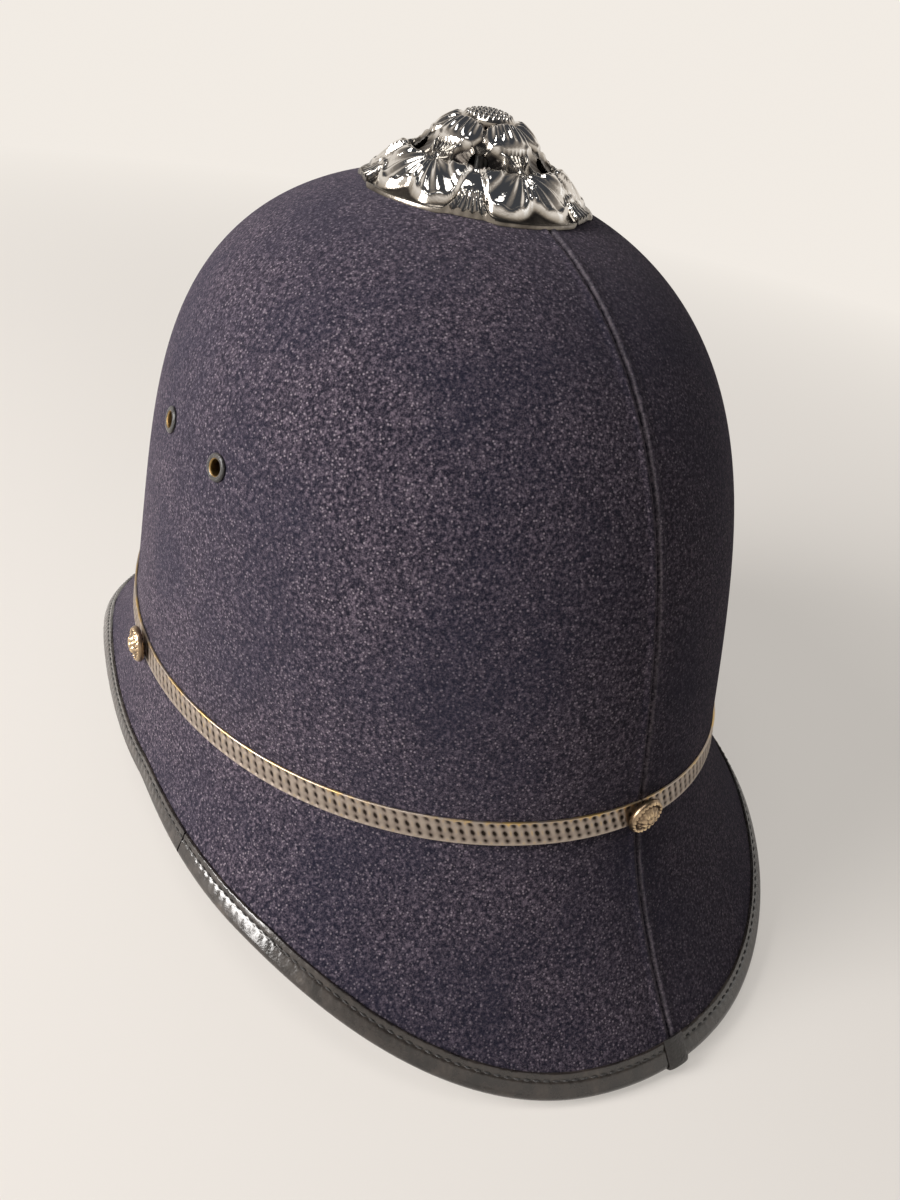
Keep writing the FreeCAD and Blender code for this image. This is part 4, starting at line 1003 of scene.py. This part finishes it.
def roseFinial():
    cut = roseCut
    angles = np.linspace(0, 2 * np.pi, cut["angles"] + 1)
    angles[-1] = 0
    phi = np.mod(angles - math.radians(cut["turn"]) + np.radians(36), np.radians(72)) - np.radians(36)
    psi = np.radians(36) - np.abs(phi)
    outer = cut["radius"] - 1.1 * mm * smoothStep(psi, 0.36, 0.50)
    seat = roseSeat(angles) + shell["glue"] + cut["sheet"]
    level = np.mean(seat[:-1])
    t = np.linspace(0, 1, cut["columns"])
    radius = cut["mouth"] + (outer[:, None] - cut["mouth"]) * t[None, :]
    share = (radius - cut["mouth"]) / (cut["radius"] - cut["mouth"])
    base = cut["height"] * np.interp(radius / cut["radius"], *roseProfile)
    height = level * (1 - share ** 2) + seat[:, None] * share ** 2 + base + roseRelief(radius, phi[:, None])
    height = np.maximum(height, seat[:, None])
    under = np.linspace(1, 0, cut["underColumns"])
    underRadius = cut["mouth"] + (outer[:, None] - cut["mouth"]) * under[None, :]
    underShare = (underRadius - cut["mouth"]) / (cut["radius"] - cut["mouth"])
    underBase = cut["height"] * np.interp(underRadius / cut["radius"], *roseProfile)
    underHeight = level * (1 - underShare ** 2) + seat[:, None] * underShare ** 2 + underBase - cut["sheet"]
    underHeight -= cut["underBow"] * np.sin(np.pi * np.clip(underShare, 0, 1))
    radius = np.concatenate([radius, underRadius, radius[:, :1]], 1)
    height = np.concatenate([height, underHeight, height[:, :1]], 1)
    grid = np.stack([radius * np.cos(angles[:, None]), radius * np.sin(angles[:, None]) + shell["ventCentre"],
                     height], -1)
    piece = shapedGrid("roseFinial", grid)
    for i in range(5):
        turn = math.radians(cut["turn"] + 72 * i)
        lean = Vector((math.cos(turn), math.sin(turn), cut["ventLean"]))
        spot = (cut["ventRing"] * math.cos(turn), cut["ventRing"] * math.sin(turn) + shell["ventCentre"],
                level + cut["height"] * cut["ventShare"])
        cutWith(piece, addCylinder(spot, facing(lean), cut["ventRadius"], 22 * mm, 48))
    points = vertexArray(piece)
    points[:, 1] -= shell["ventCentre"]
    r = np.hypot(points[:, 0], points[:, 1])
    around = np.arctan2(points[:, 1], points[:, 0])
    phi = np.mod(around - math.radians(cut["turn"]) + np.radians(36), np.radians(72)) - np.radians(36)
    relief = roseRelief(r, phi)
    # shade attribute: painted shade in the relief's hollows and painted highlight on its raised parts; the
    # outer flange is darkened as painted shade
    flange = smoothStep(r, cut["flangeFrom"], cut["flangeFrom"] + cut["flangeFade"])
    storeShade(piece, np.clip(0.42 + relief / (3.2 * mm), 0, 1) * (1 - cut["flangePaintedShade"] * flange))
    creaseSmooth(piece, 75)
    finishPiece(piece, roseChrome, nodes=["rose_finial"])
    return level


buttonCut = {
    "radius": 8.2 * mm, "height": 4.0 * mm, "widening": 1.04, "fullness": 0.8, "angles": 217, "columns": 50,
    "rings": ((1.9 * mm, 8), (3.6 * mm, 14), (5.3 * mm, 20), (6.8 * mm, 26)),
    "bead": 0.62 * mm, "middleBead": 0.6 * mm, "lift": 0.3 * mm, "sunk": 0.35 * mm,
    "neck": 5.4 * mm, "neckDepth": 2.4 * mm, "shadeReach": 0.9 * mm,
}


def buttonDome(radius):
    cut = buttonCut
    inside = np.clip(1 - (radius / (cut["radius"] * cut["widening"])) ** 2, 0, 1)
    return cut["height"] * np.sqrt(inside) ** cut["fullness"]


def roseButton(level):
    cut = buttonCut
    angles = np.linspace(0, 2 * np.pi, cut["angles"])
    angles[-1] = 0
    radii = np.linspace(0, cut["radius"], cut["columns"])
    beads = np.zeros((cut["angles"], cut["columns"]))
    for ring, count in cut["rings"]:
        around = np.sqrt(0.5 + 0.5 * np.cos(count * angles[:, None] + 2.0 * ring / mm))
        beads += cut["bead"] * around * bell(radii[None, :] - ring, cut["bead"])
    beads += cut["middleBead"] * bell(radii[None, :], cut["middleBead"])
    base = level + roseCut["height"] + cut["lift"]
    top = base + buttonDome(radii)[None, :] + beads - cut["sunk"]
    below = base - cut["neckDepth"]
    allRadii = np.concatenate([radii, [cut["radius"], cut["neck"], cut["neck"], 0]])
    heights = np.concatenate([top, np.broadcast_to([base, base, below, below], (cut["angles"], 4))], 1)
    grid = np.stack([allRadii * np.cos(angles[:, None]),
                     allRadii * np.sin(angles[:, None]) + shell["ventCentre"], heights], -1)
    piece = shapedGrid("roseButton", grid)
    points = vertexArray(piece)
    # shade attribute: painted highlight on the beads and painted shade between them
    smooth = base + buttonDome(np.hypot(points[:, 0], points[:, 1] - shell["ventCentre"]))
    storeShade(piece, np.clip(0.35 + (points[:, 2] - smooth + cut["sunk"]) / cut["shadeReach"], 0, 1))
    creaseSmooth(piece, 70)
    return finishPiece(piece, roseChrome, nodes=["rose_button"])


roseButton(roseFinial())
print("rose made")

# head fitting: sweatband turned up over the hoop, felt blocks, crown tongues and their lace
fitting = {
    "halfWidth": 0.080, "halfLength": 0.102, "centre": 0.002, "leather": 1.2 * mm, "glue": 0.15 * mm,
    "hoopThick": 2.0 * mm, "hoopBottom": 0.060, "hoopHeight": 0.034, "bandHeight": 0.040, "turnUp": 0.008,
    "rows": 300, "tongues": 8, "tongueTop": 0.170, "tongueRing": 0.015, "tongueTip": 0.94,
    "tongueAngle": 19.0,
    "tongueNarrowing": 0.35, "tongueLeather": 0.8 * mm, "laceRadius": 1.3 * mm, "laceHole": 1.5 * mm,
    "blockLow": 0.0765, "blockHeight": 0.016, "blockAngle": 4.0,
}


def headPoint(turn, gap, level):
    turn, gap, level = np.broadcast_arrays(turn, gap, level)
    return np.stack([(fitting["halfWidth"] + gap) * np.cos(turn),
                     fitting["centre"] + (fitting["halfLength"] + gap) * np.sin(turn), level], -1)


def arcPoints(centre, radius, start, end, count):
    angles = np.radians(np.linspace(start, end, count))
    return np.stack([centre[0] + radius * np.cos(angles), centre[1] + radius * np.sin(angles)], -1)


def sweatBand():
    f = fitting
    top = f["hoopBottom"] - f["leather"] - f["glue"] + f["bandHeight"]
    near, far = f["leather"], f["leather"] + 2 * f["glue"] + f["hoopThick"]
    low = f["hoopBottom"] - f["glue"]
    middle = (near + far) / 2
    bend = (far - near) / 2
    inner = np.stack([np.zeros(22), np.linspace(top, low, 22)], -1)
    fold = arcPoints((middle, low), bend + f["leather"], 180, 360, 13)
    fold[:, 1] = low + (fold[:, 1] - low) * f["leather"] / (bend + f["leather"])
    up = np.array([[far + f["leather"], low + f["turnUp"]], [far + 0.2 * mm, low + f["turnUp"] + 0.1 * mm],
                   [far, low + f["turnUp"] - 0.2 * mm], [far, low], [near, low], [near, top - 0.2 * mm],
                   [near * 0.5, top + 0.1 * mm]])
    outline = np.concatenate([inner, fold, up])
    turns = np.linspace(-np.pi / 2, 1.5 * np.pi, f["rows"] + 1)
    turns[-1] = turns[0]
    gap = np.broadcast_to(outline[:, 0], (len(turns), len(outline)))
    level = np.broadcast_to(outline[:, 1], (len(turns), len(outline))).copy()
    upper = smoothStep(level, low + 0.012, top)
    wave = 0.5 + 0.5 * np.sin(9 * turns) * np.sin(5 * turns + 1)
    level += (0.25 * mm * np.sin(14 * turns))[:, None] * smoothStep(level, top - 0.004, top)
    lean = 0.10 * mm * wave[:, None] * upper * (gap < near * 0.9)
    points = headPoint(turns[:, None], gap + lean * 0.5, level)
    piece = shapedGrid("sweatBand", np.concatenate([points, points[:, :1]], 1))
    creaseSmooth(piece, 50)
    finishPiece(piece, sweatLeather, nodes=["sweatband"])
    places = []
    for turn in np.linspace(0, 2 * np.pi, 190, endpoint=False):
        spot = headPoint(turn, -0.0001, low + 0.0035)
        ahead = headPoint(turn + 0.01, 0.0, low) - headPoint(turn - 0.01, 0.0, low)
        ahead /= np.linalg.norm(ahead)
        places.append((spot, ahead, -np.cross(ahead, [0, 0, 1.0])))
    stitchRow("sweatBandStitches", places, 2.2 * mm, 0.28 * mm, tanThread)


def tonguePoint(turn, rise, lift):
    f = fitting
    start = f["hoopBottom"] + f["hoopHeight"] + f["glue"]
    farX = f["halfWidth"] + f["leather"] + f["glue"] + f["hoopThick"]
    farY = farX - f["halfWidth"] + f["halfLength"]
    shrink = np.cos(rise * np.pi / 2)
    wide = f["tongueRing"] + (farX - f["tongueRing"]) * shrink + lift
    long = f["tongueRing"] + (farY - f["tongueRing"]) * shrink + lift
    height = start + (f["tongueTop"] - start) * np.sin(rise * np.pi / 2) + lift * rise
    return np.stack([wide * np.cos(turn), f["centre"] + long * np.sin(turn), height], -1)


def crownTongues():
    f = fitting
    tongues = []
    for i in range(f["tongues"]):
        middle = np.radians(360 * (i + 0.5) / f["tongues"])
        side = np.linspace(-1, 1, 27)[:, None]
        rise = np.linspace(0.004, f["tongueTip"], 40)
        rise = np.concatenate([rise, rise[::-1]])[None, :]
        half = np.radians(f["tongueAngle"] * (1 - f["tongueNarrowing"] * rise))
        tip = smoothStep(rise, 0.80, 0.94)
        half = half * (1 - 0.30 * tip * tip)
        turn = middle + side * half
        lift = np.zeros_like(turn)
        lift[:, 40:] = -f["tongueLeather"]
        buckle = 0.35 * mm * (1 - side ** 2) * np.sin(np.pi * rise) * (1 if i % 2 else -0.6)
        lift = lift + buckle
        rounded = 0.02 * tip * side ** 2
        points = tonguePoint(turn, rise - rounded, lift)
        points = np.concatenate([points, points[:, :1]], 1)
        tongue = shapedGrid("tongue", points)
        spot = tonguePoint(middle, 0.885, 0.0)
        inwards = tonguePoint(middle, 0.885, 1.0 * mm) - tonguePoint(middle, 0.885, 0.0)
        ahead = tonguePoint(middle, 0.9, 0.0) - tonguePoint(middle, 0.87, 0.0)
        out = np.cross(np.cross(ahead, inwards), ahead)
        cutWith(tongue, addCylinder(spot, facing(out), f["laceHole"], 8 * mm, 24))
        creaseSmooth(tongue, 50)
        tongues.append(tongue)
    joined = joinPieces("crownTongues", tongues)
    finishPiece(joined, sweatLeather, nodes=["crown_tongues"])


def crownLace():
    f = fitting
    tip = tonguePoint(np.array(0.0), np.array(f["tongueTip"]), np.array(-f["tongueLeather"]))
    ring = tip[0] - f["laceRadius"] - 2 * f["glue"]
    around = np.linspace(0, 2 * np.pi, 361)
    around[-1] = 0
    section = np.linspace(0, 2 * np.pi, 15)
    section[-1] = 0
    strand = 0.18 * mm * np.cos(3 * section[None, :] + 40 * around[:, None])
    thick = f["laceRadius"] - 0.18 * mm + strand
    radius = ring + thick * np.cos(section)
    grid = np.stack([radius * np.cos(around[:, None]), f["centre"] + radius * np.sin(around[:, None]),
                     tip[2] + thick * np.sin(section)], -1)
    piece = shapedGrid("crownLace", grid)
    return finishPiece(piece, blackLace, nodes=["crown_lace"])


def feltBlocks():
    f = fitting
    blocks = []
    near = f["leather"] + 2 * f["glue"] + f["hoopThick"]
    for i in range(8):
        middle = 360 * (i + 0.5) / 8
        section = np.radians(np.linspace(0, 360, 33))
        power = 0.42
        across = np.sign(np.cos(section)) * np.abs(np.cos(section)) ** power
        height = np.sign(np.sin(section)) * np.abs(np.sin(section)) ** power
        rows = []
        for side in np.linspace(-1, 1, 13):
            turn = np.radians(middle + side * f["blockAngle"])
            level = f["blockLow"] + f["blockHeight"] / 2 * (1 + height * 0.98)
            low = bandHeight(np.array(turn))
            share = (level - low) / (shell["top"] - low)
            skinLevel = 1 - (1 - np.clip(share, 0, 1)) ** (1 / shell["stepPower"])
            outer = helmetLayer(turn, skinLevel, np.full(len(level), corkInside(0) - 4 * f["glue"]))
            inner = headPoint(turn, near + 0.1 * mm, level)
            mix = ((across + 1) / 2)[:, None]
            row = inner * (1 - mix) + outer * mix
            row[:, 2] = level
            shrink = 1 - 0.16 * max(0, abs(side) - 0.8) / 0.2
            centre = row.mean(0)
            rows.append(centre + (row - centre) * shrink)
        block = shapedGrid("block", np.array(rows), 1e-5)
        creaseSmooth(block, 60)
        blocks.append(block)
    joined = joinPieces("feltBlocks", blocks)
    finishPiece(joined, greyFelt, nodes=["spacer_blocks"])


sweatBand()
crownTongues()
crownLace()
feltBlocks()
print("head fitting made")

# chin strap, stowed round the front: long part from the right pivot, short part with the buckle
strapCut = {
    "level": 0.047, "halfWidth": 0.085, "reach": 0.097, "width": 14.0 * mm, "thick": 1.6 * mm,
    "hole": 2.05 * mm, "barAngle": 50.0, "barHole": 0.95 * mm, "fold": 0.9 * mm, "lapAngle": 28.0,
    "lapStart": 14.0, "lapRun": 10.0, "keeperAngle": 40.0, "keeperLength": 6.0 * mm, "keeperWall": 1.0 * mm,
    "prongHole": 1.1 * mm, "prongHoles": 5, "firstHole": 66, "holeStep": 7,
}


def strapPoint(angle, layer):
    turn = np.radians(angle)
    return np.stack([(strapCut["halfWidth"] + layer) * np.cos(turn),
                     -(strapCut["reach"] + layer) * np.sin(turn), strapCut["level"] + 0 * turn], -1)


def strapOut(angle, layer):
    along = strapPoint(angle + 0.5, layer) - strapPoint(angle - 0.5, layer)
    along /= np.linalg.norm(along, axis=-1, keepdims=True)
    return along, np.cross(along, [0, 0, -1.0])


def lapLayer():
    return strapCut["thick"] + strapCut["fold"] + 2 * fitting["glue"]


def longLayer(angle):
    share = np.clip((strapCut["barAngle"] + strapCut["lapStart"] - angle) / strapCut["lapRun"], 0, 1)
    return lapLayer() * share * share * (3 - 2 * share)


def strapSection(width, thick):
    half, round_ = width / 2, 0.35 * mm
    edge = thick / 2
    z = np.array([-half + round_, -half + 0.1 * mm, -half, -half + 0.1 * mm, -half + round_])
    y = np.array([-edge, -edge + 0.15 * mm, 0, edge - 0.15 * mm, edge])
    fill = np.linspace(-half + 2 * round_, half - 2 * round_, 15)
    zAll = np.concatenate([z, fill, -z[::-1], fill[::-1]])
    yAll = np.concatenate([y, np.full(15, edge), y[::-1], np.full(15, -edge)])
    return zAll, yAll


def strapPiece(name, start, end, layerAt, tailSide):
    cut = strapCut
    angles = np.linspace(start, end, int(abs(end - start) * 1.6) + 2)
    layer = layerAt(angles)
    point = strapPoint(angles, layer)
    _, out = strapOut(angles, layer)
    z, y = strapSection(cut["width"], cut["thick"])
    groove = bell(np.abs(z) - (cut["width"] / 2 - 1.5 * mm), 0.35 * mm)
    y = y - np.sign(y) * 0.14 * mm * groove
    points = point[:, None] + out[:, None] * y[None, :, None] + np.array([0, 0, 1.0]) * z[None, :, None]
    points = np.concatenate([points, points[:, :1]], 1)
    piece = shapedGrid(name, points)
    pivot, sideways = (tailSide * cut["halfWidth"], 0, cut["level"]), (0, math.pi / 2, 0)
    uniteWith(piece, addCylinder(pivot, sideways, cut["width"] / 2, cut["thick"] * 0.98, 64))
    cutWith(piece, addCylinder(pivot, sideways, cut["hole"], 12 * mm, 40))
    return piece


def strapBox(angle, layer, size, offset):
    point = strapPoint(np.array(float(angle)), layer)
    along, out = strapOut(np.array(float(angle)), layer)
    deselectAll()
    bpy.ops.mesh.primitive_cube_add(size=1)
    box = bpy.context.object
    turn = Matrix((along, out, (0, 0, 1))).transposed().to_4x4()
    place = Matrix.Translation(Vector(point)) @ turn @ Matrix.Translation(Vector(offset))
    box.data.transform(place @ Matrix.Diagonal((*size, 1)))
    return box


def chinStrap():
    cut = strapCut
    longPart = strapPiece("chinStrapLong", 180, cut["lapAngle"], longLayer, -1)
    slotBox = strapBox(cut["barAngle"], 0.0, (17 * mm, 10 * mm, 2.9 * mm), (3.5 * mm, 0, 0))
    cutWith(longPart, slotBox)
    for step in range(cut["prongHoles"]):
        angle = cut["firstHole"] + cut["holeStep"] * step
        point = strapPoint(np.array(float(angle)), 0.0)
        _, out = strapOut(np.array(float(angle)), 0.0)
        cutWith(longPart, addCylinder(point, facing(out), cut["prongHole"], 8 * mm, 24))
    creaseSmooth(longPart, 45)
    finishPiece(longPart, strapLeather, "chin_strap", ["chin_strap_long"])
    shortEnd = cut["barAngle"] - math.degrees(0.9 * mm / cut["reach"])
    shortPart = strapPiece("chinStrapShort", 0.0, shortEnd, lambda angle: 0 * angle, 1)
    spot = strapPoint(np.array(cut["barAngle"]), 0.0)
    upright = (0, 0, 0)
    uniteWith(shortPart, addCylinder(spot, upright, cut["barHole"] + cut["fold"], cut["width"] * 0.99, 48))
    for radius, depth in ((cut["barHole"], 40 * mm), (3.6 * mm, 2.5 * mm)):
        cutWith(shortPart, addCylinder(spot, upright, radius, depth, 40))
    creaseSmooth(shortPart, 45)
    finishPiece(shortPart, strapLeather, "chin_strap", ["chin_strap_short"])


def strapKeeper():
    cut = strapCut
    low = -cut["thick"] / 2 - fitting["glue"]
    high = lapLayer() + cut["thick"] / 2 + 3 * fitting["glue"]
    half = cut["width"] / 2 + 2 * fitting["glue"]
    wall = cut["keeperWall"]
    middle = (low + high) / 2
    loop = strapBox(cut["keeperAngle"], 0.0, (cut["keeperLength"], high - low + 2 * wall, 2 * (half + wall)),
                    (0, middle, 0))
    hole = strapBox(cut["keeperAngle"], 0.0, (3 * cut["keeperLength"], high - low, 2 * half), (0, middle, 0))
    cutWith(loop, hole)
    loop.name = "strapKeeper"
    applyModifier(loop, "BEVEL", width=0.35 * mm, segments=3, limit_method="ANGLE")
    creaseSmooth(loop, 45)
    finishPiece(loop, strapLeather, "chin_strap", ["strap_keeper"])


def strapStitches():
    cut = strapCut
    places = []
    for angle in np.arange(70.0, 172.0, 1.75):
        point = strapPoint(np.array(angle), 0.0)
        along, out = strapOut(np.array(angle), 0.0)
        for side in (-1, 1):
            spot = point + out * (cut["thick"] / 2 - 0.12 * mm)
            spot = spot + np.array([0, 0, side * (cut["width"] / 2 - 1.5 * mm)])
            places.append((spot, along, out))
    stitchRow("strapStitches", places, 2.1 * mm, 0.24 * mm, blackThread, "chin_strap")


chinStrap()
strapKeeper()
strapStitches()
print("chin strap made")

# CAD nodes that show as they are
carriedNodes = {
    "cork_shell": pressedCork, "headband_hoop": caneBoard, "boss_washers": platedSteel,
    "eyelet_washers": platedSteel, "vent_collar": platedSteel, "vent_bridge": platedSteel,
    "finial_stud": platedSteel, "finial_washer": platedSteel, "finial_nut": platedSteel,
    "strap_pivot_left": platedSteel, "strap_pivot_right": platedSteel, "strap_rivets": platedSteel,
    "buckle_frame": buckleBrass, "buckle_prong": buckleBrass,
}
for nodeName, material in carriedNodes.items():
    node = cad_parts[nodeName]
    node.data.materials.clear()
    node.data.materials.append(material)

# stage: wide pale floor that takes the backdrop's colour with distance
stageCut = {"colour": (0.80, 0.765, 0.725), "shown": (0.885, 0.835, 0.775), "reach": 60.0, "near": 0.25,
            "far": 1.1, "leastGlow": 0.5, "ambient": 0.06, "mirrored": 0.5,
            "room": [(0.45, (0.885, 0.835, 0.775)), (0.62, (0.30, 0.27, 0.24)), (0.85, (0.06, 0.065, 0.075))]}


def stageMaterial():
    material, shader = startMaterial("paleStage", stageCut["colour"], 0.9)
    tree = material.node_tree
    tint = noiseField(material, objectCoords(material), 1.2, 2)
    linkTo(material, rampField(material, tint, [(0.3, (0.79, 0.755, 0.715)), (0.7, (0.81, 0.775, 0.735))]),
           shader, "Base Color")
    # far from the helmet the floor takes the backdrop's colour, near it the floor keeps the shadow
    distance = addNode(material, "ShaderNodeVectorMath", {0: objectCoords(material)}, operation="LENGTH")
    away = addNode(material, "ShaderNodeMapRange", {"Value": distance.outputs["Value"],
                                                    "From Min": stageCut["near"], "From Max": stageCut["far"],
                                                    "To Min": stageCut["leastGlow"], "To Max": 1.0})
    path = addNode(material, "ShaderNodeLightPath")
    mirrored = mathField(material, "MULTIPLY", path.outputs["Is Glossy Ray"], stageCut["mirrored"])
    seen = mathField(material, "MAXIMUM", path.outputs["Is Camera Ray"], mirrored)
    share = mathField(material, "MULTIPLY", away.outputs["Result"], seen)
    glow = addNode(material, "ShaderNodeEmission", {"Color": (*stageCut["shown"], 1), "Strength": 1.0})
    mixed = addNode(material, "ShaderNodeMixShader", {0: share, 1: shader.outputs[0], 2: glow.outputs[0]})
    tree.links.new(mixed.outputs[0], tree.nodes["Material Output"].inputs["Surface"])
    return material


def makeStage():
    reach = stageCut["reach"]
    deselectAll()
    bpy.ops.mesh.primitive_plane_add(size=2 * reach, location=(0, 0, 0))
    floor = bpy.context.object
    floor.name = "paleFloor"
    floor.data.materials.append(stageMaterial())


def makeWorld():
    world = bpy.data.worlds.new("studio")
    bpy.context.scene.world = world
    world.use_nodes = True
    nodes, links = world.node_tree.nodes, world.node_tree.links
    background = nodes["Background"]
    background.inputs["Color"].default_value = (0.80, 0.78, 0.80, 1)
    background.inputs["Strength"].default_value = stageCut["ambient"]
    # pale backdrop under a darker ceiling, which the camera and the metals both see
    direction = nodes.new("ShaderNodeTexCoord").outputs["Generated"]
    upward = addNode(world, "ShaderNodeSeparateXYZ", {0: direction}).outputs["Z"]
    room = nodes.new("ShaderNodeBackground")
    links.new(rampField(world, upward, stageCut["room"]), room.inputs["Color"])
    path = nodes.new("ShaderNodeLightPath")
    seen = mathField(world, "MAXIMUM", path.outputs["Is Camera Ray"], path.outputs["Is Glossy Ray"])
    mix = nodes.new("ShaderNodeMixShader")
    links.new(seen, mix.inputs[0])
    links.new(background.outputs[0], mix.inputs[1])
    links.new(room.outputs[0], mix.inputs[2])
    links.new(mix.outputs[0], nodes["World Output"].inputs["Surface"])


def areaLamp(name, place, size, power, colour):
    lamp = bpy.data.lights.new(name, "AREA")
    lamp.shape = "RECTANGLE"
    lamp.size, lamp.size_y = size
    lamp.energy = power
    lamp.color = colour
    holder = bpy.data.objects.new(name, lamp)
    bpy.context.scene.collection.objects.link(holder)
    holder.location = place
    aim = Vector((0, 0, 0.11)) - Vector(place)
    holder.rotation_euler = aim.to_track_quat("-Z", "Y").to_euler()


makeStage()
makeWorld()
areaLamp("windowLamp", (1.25, -0.25, 0.70), (0.6, 0.8), 31, (1.0, 0.97, 0.95))
areaLamp("ceilingLamp", (0.45, 0.0, 1.5), (0.5, 0.5), 4, (1.0, 0.98, 0.95))
areaLamp("fillLamp", (-1.1, 0.5, 0.6), (0.5, 0.5), 0.3, (0.80, 0.90, 1.0))

# camera: the photo's angle, from behind and to the left, leaning a little
cameraPlace = {
    "location": (0.1938, 0.2425, 0.2711), "right": (-0.8126, 0.5587, 0.1662),
    "up": (-0.1955, -0.5298, 0.8253), "focal": 29.31, "sensor": 36.0,
}
camera = bpy.data.cameras.new("photoCamera")
camera.sensor_fit = "VERTICAL"
camera.sensor_height = cameraPlace["sensor"]
camera.lens = cameraPlace["focal"]
camera.clip_start = 0.01
cameraHolder = bpy.data.objects.new("photoCamera", camera)
bpy.context.scene.collection.objects.link(cameraHolder)
rightAxis = Vector(cameraPlace["right"]).normalized()
upAxis = (Vector(cameraPlace["up"]) - rightAxis * rightAxis.dot(Vector(cameraPlace["up"]))).normalized()
turnMatrix = Matrix((rightAxis, upAxis, rightAxis.cross(upAxis))).transposed().to_4x4()
cameraHolder.matrix_world = Matrix.Translation(cameraPlace["location"]) @ turnMatrix
bpy.context.scene.camera = cameraHolder
bpy.context.scene.view_settings.view_transform = "Standard"

print("scene ready")
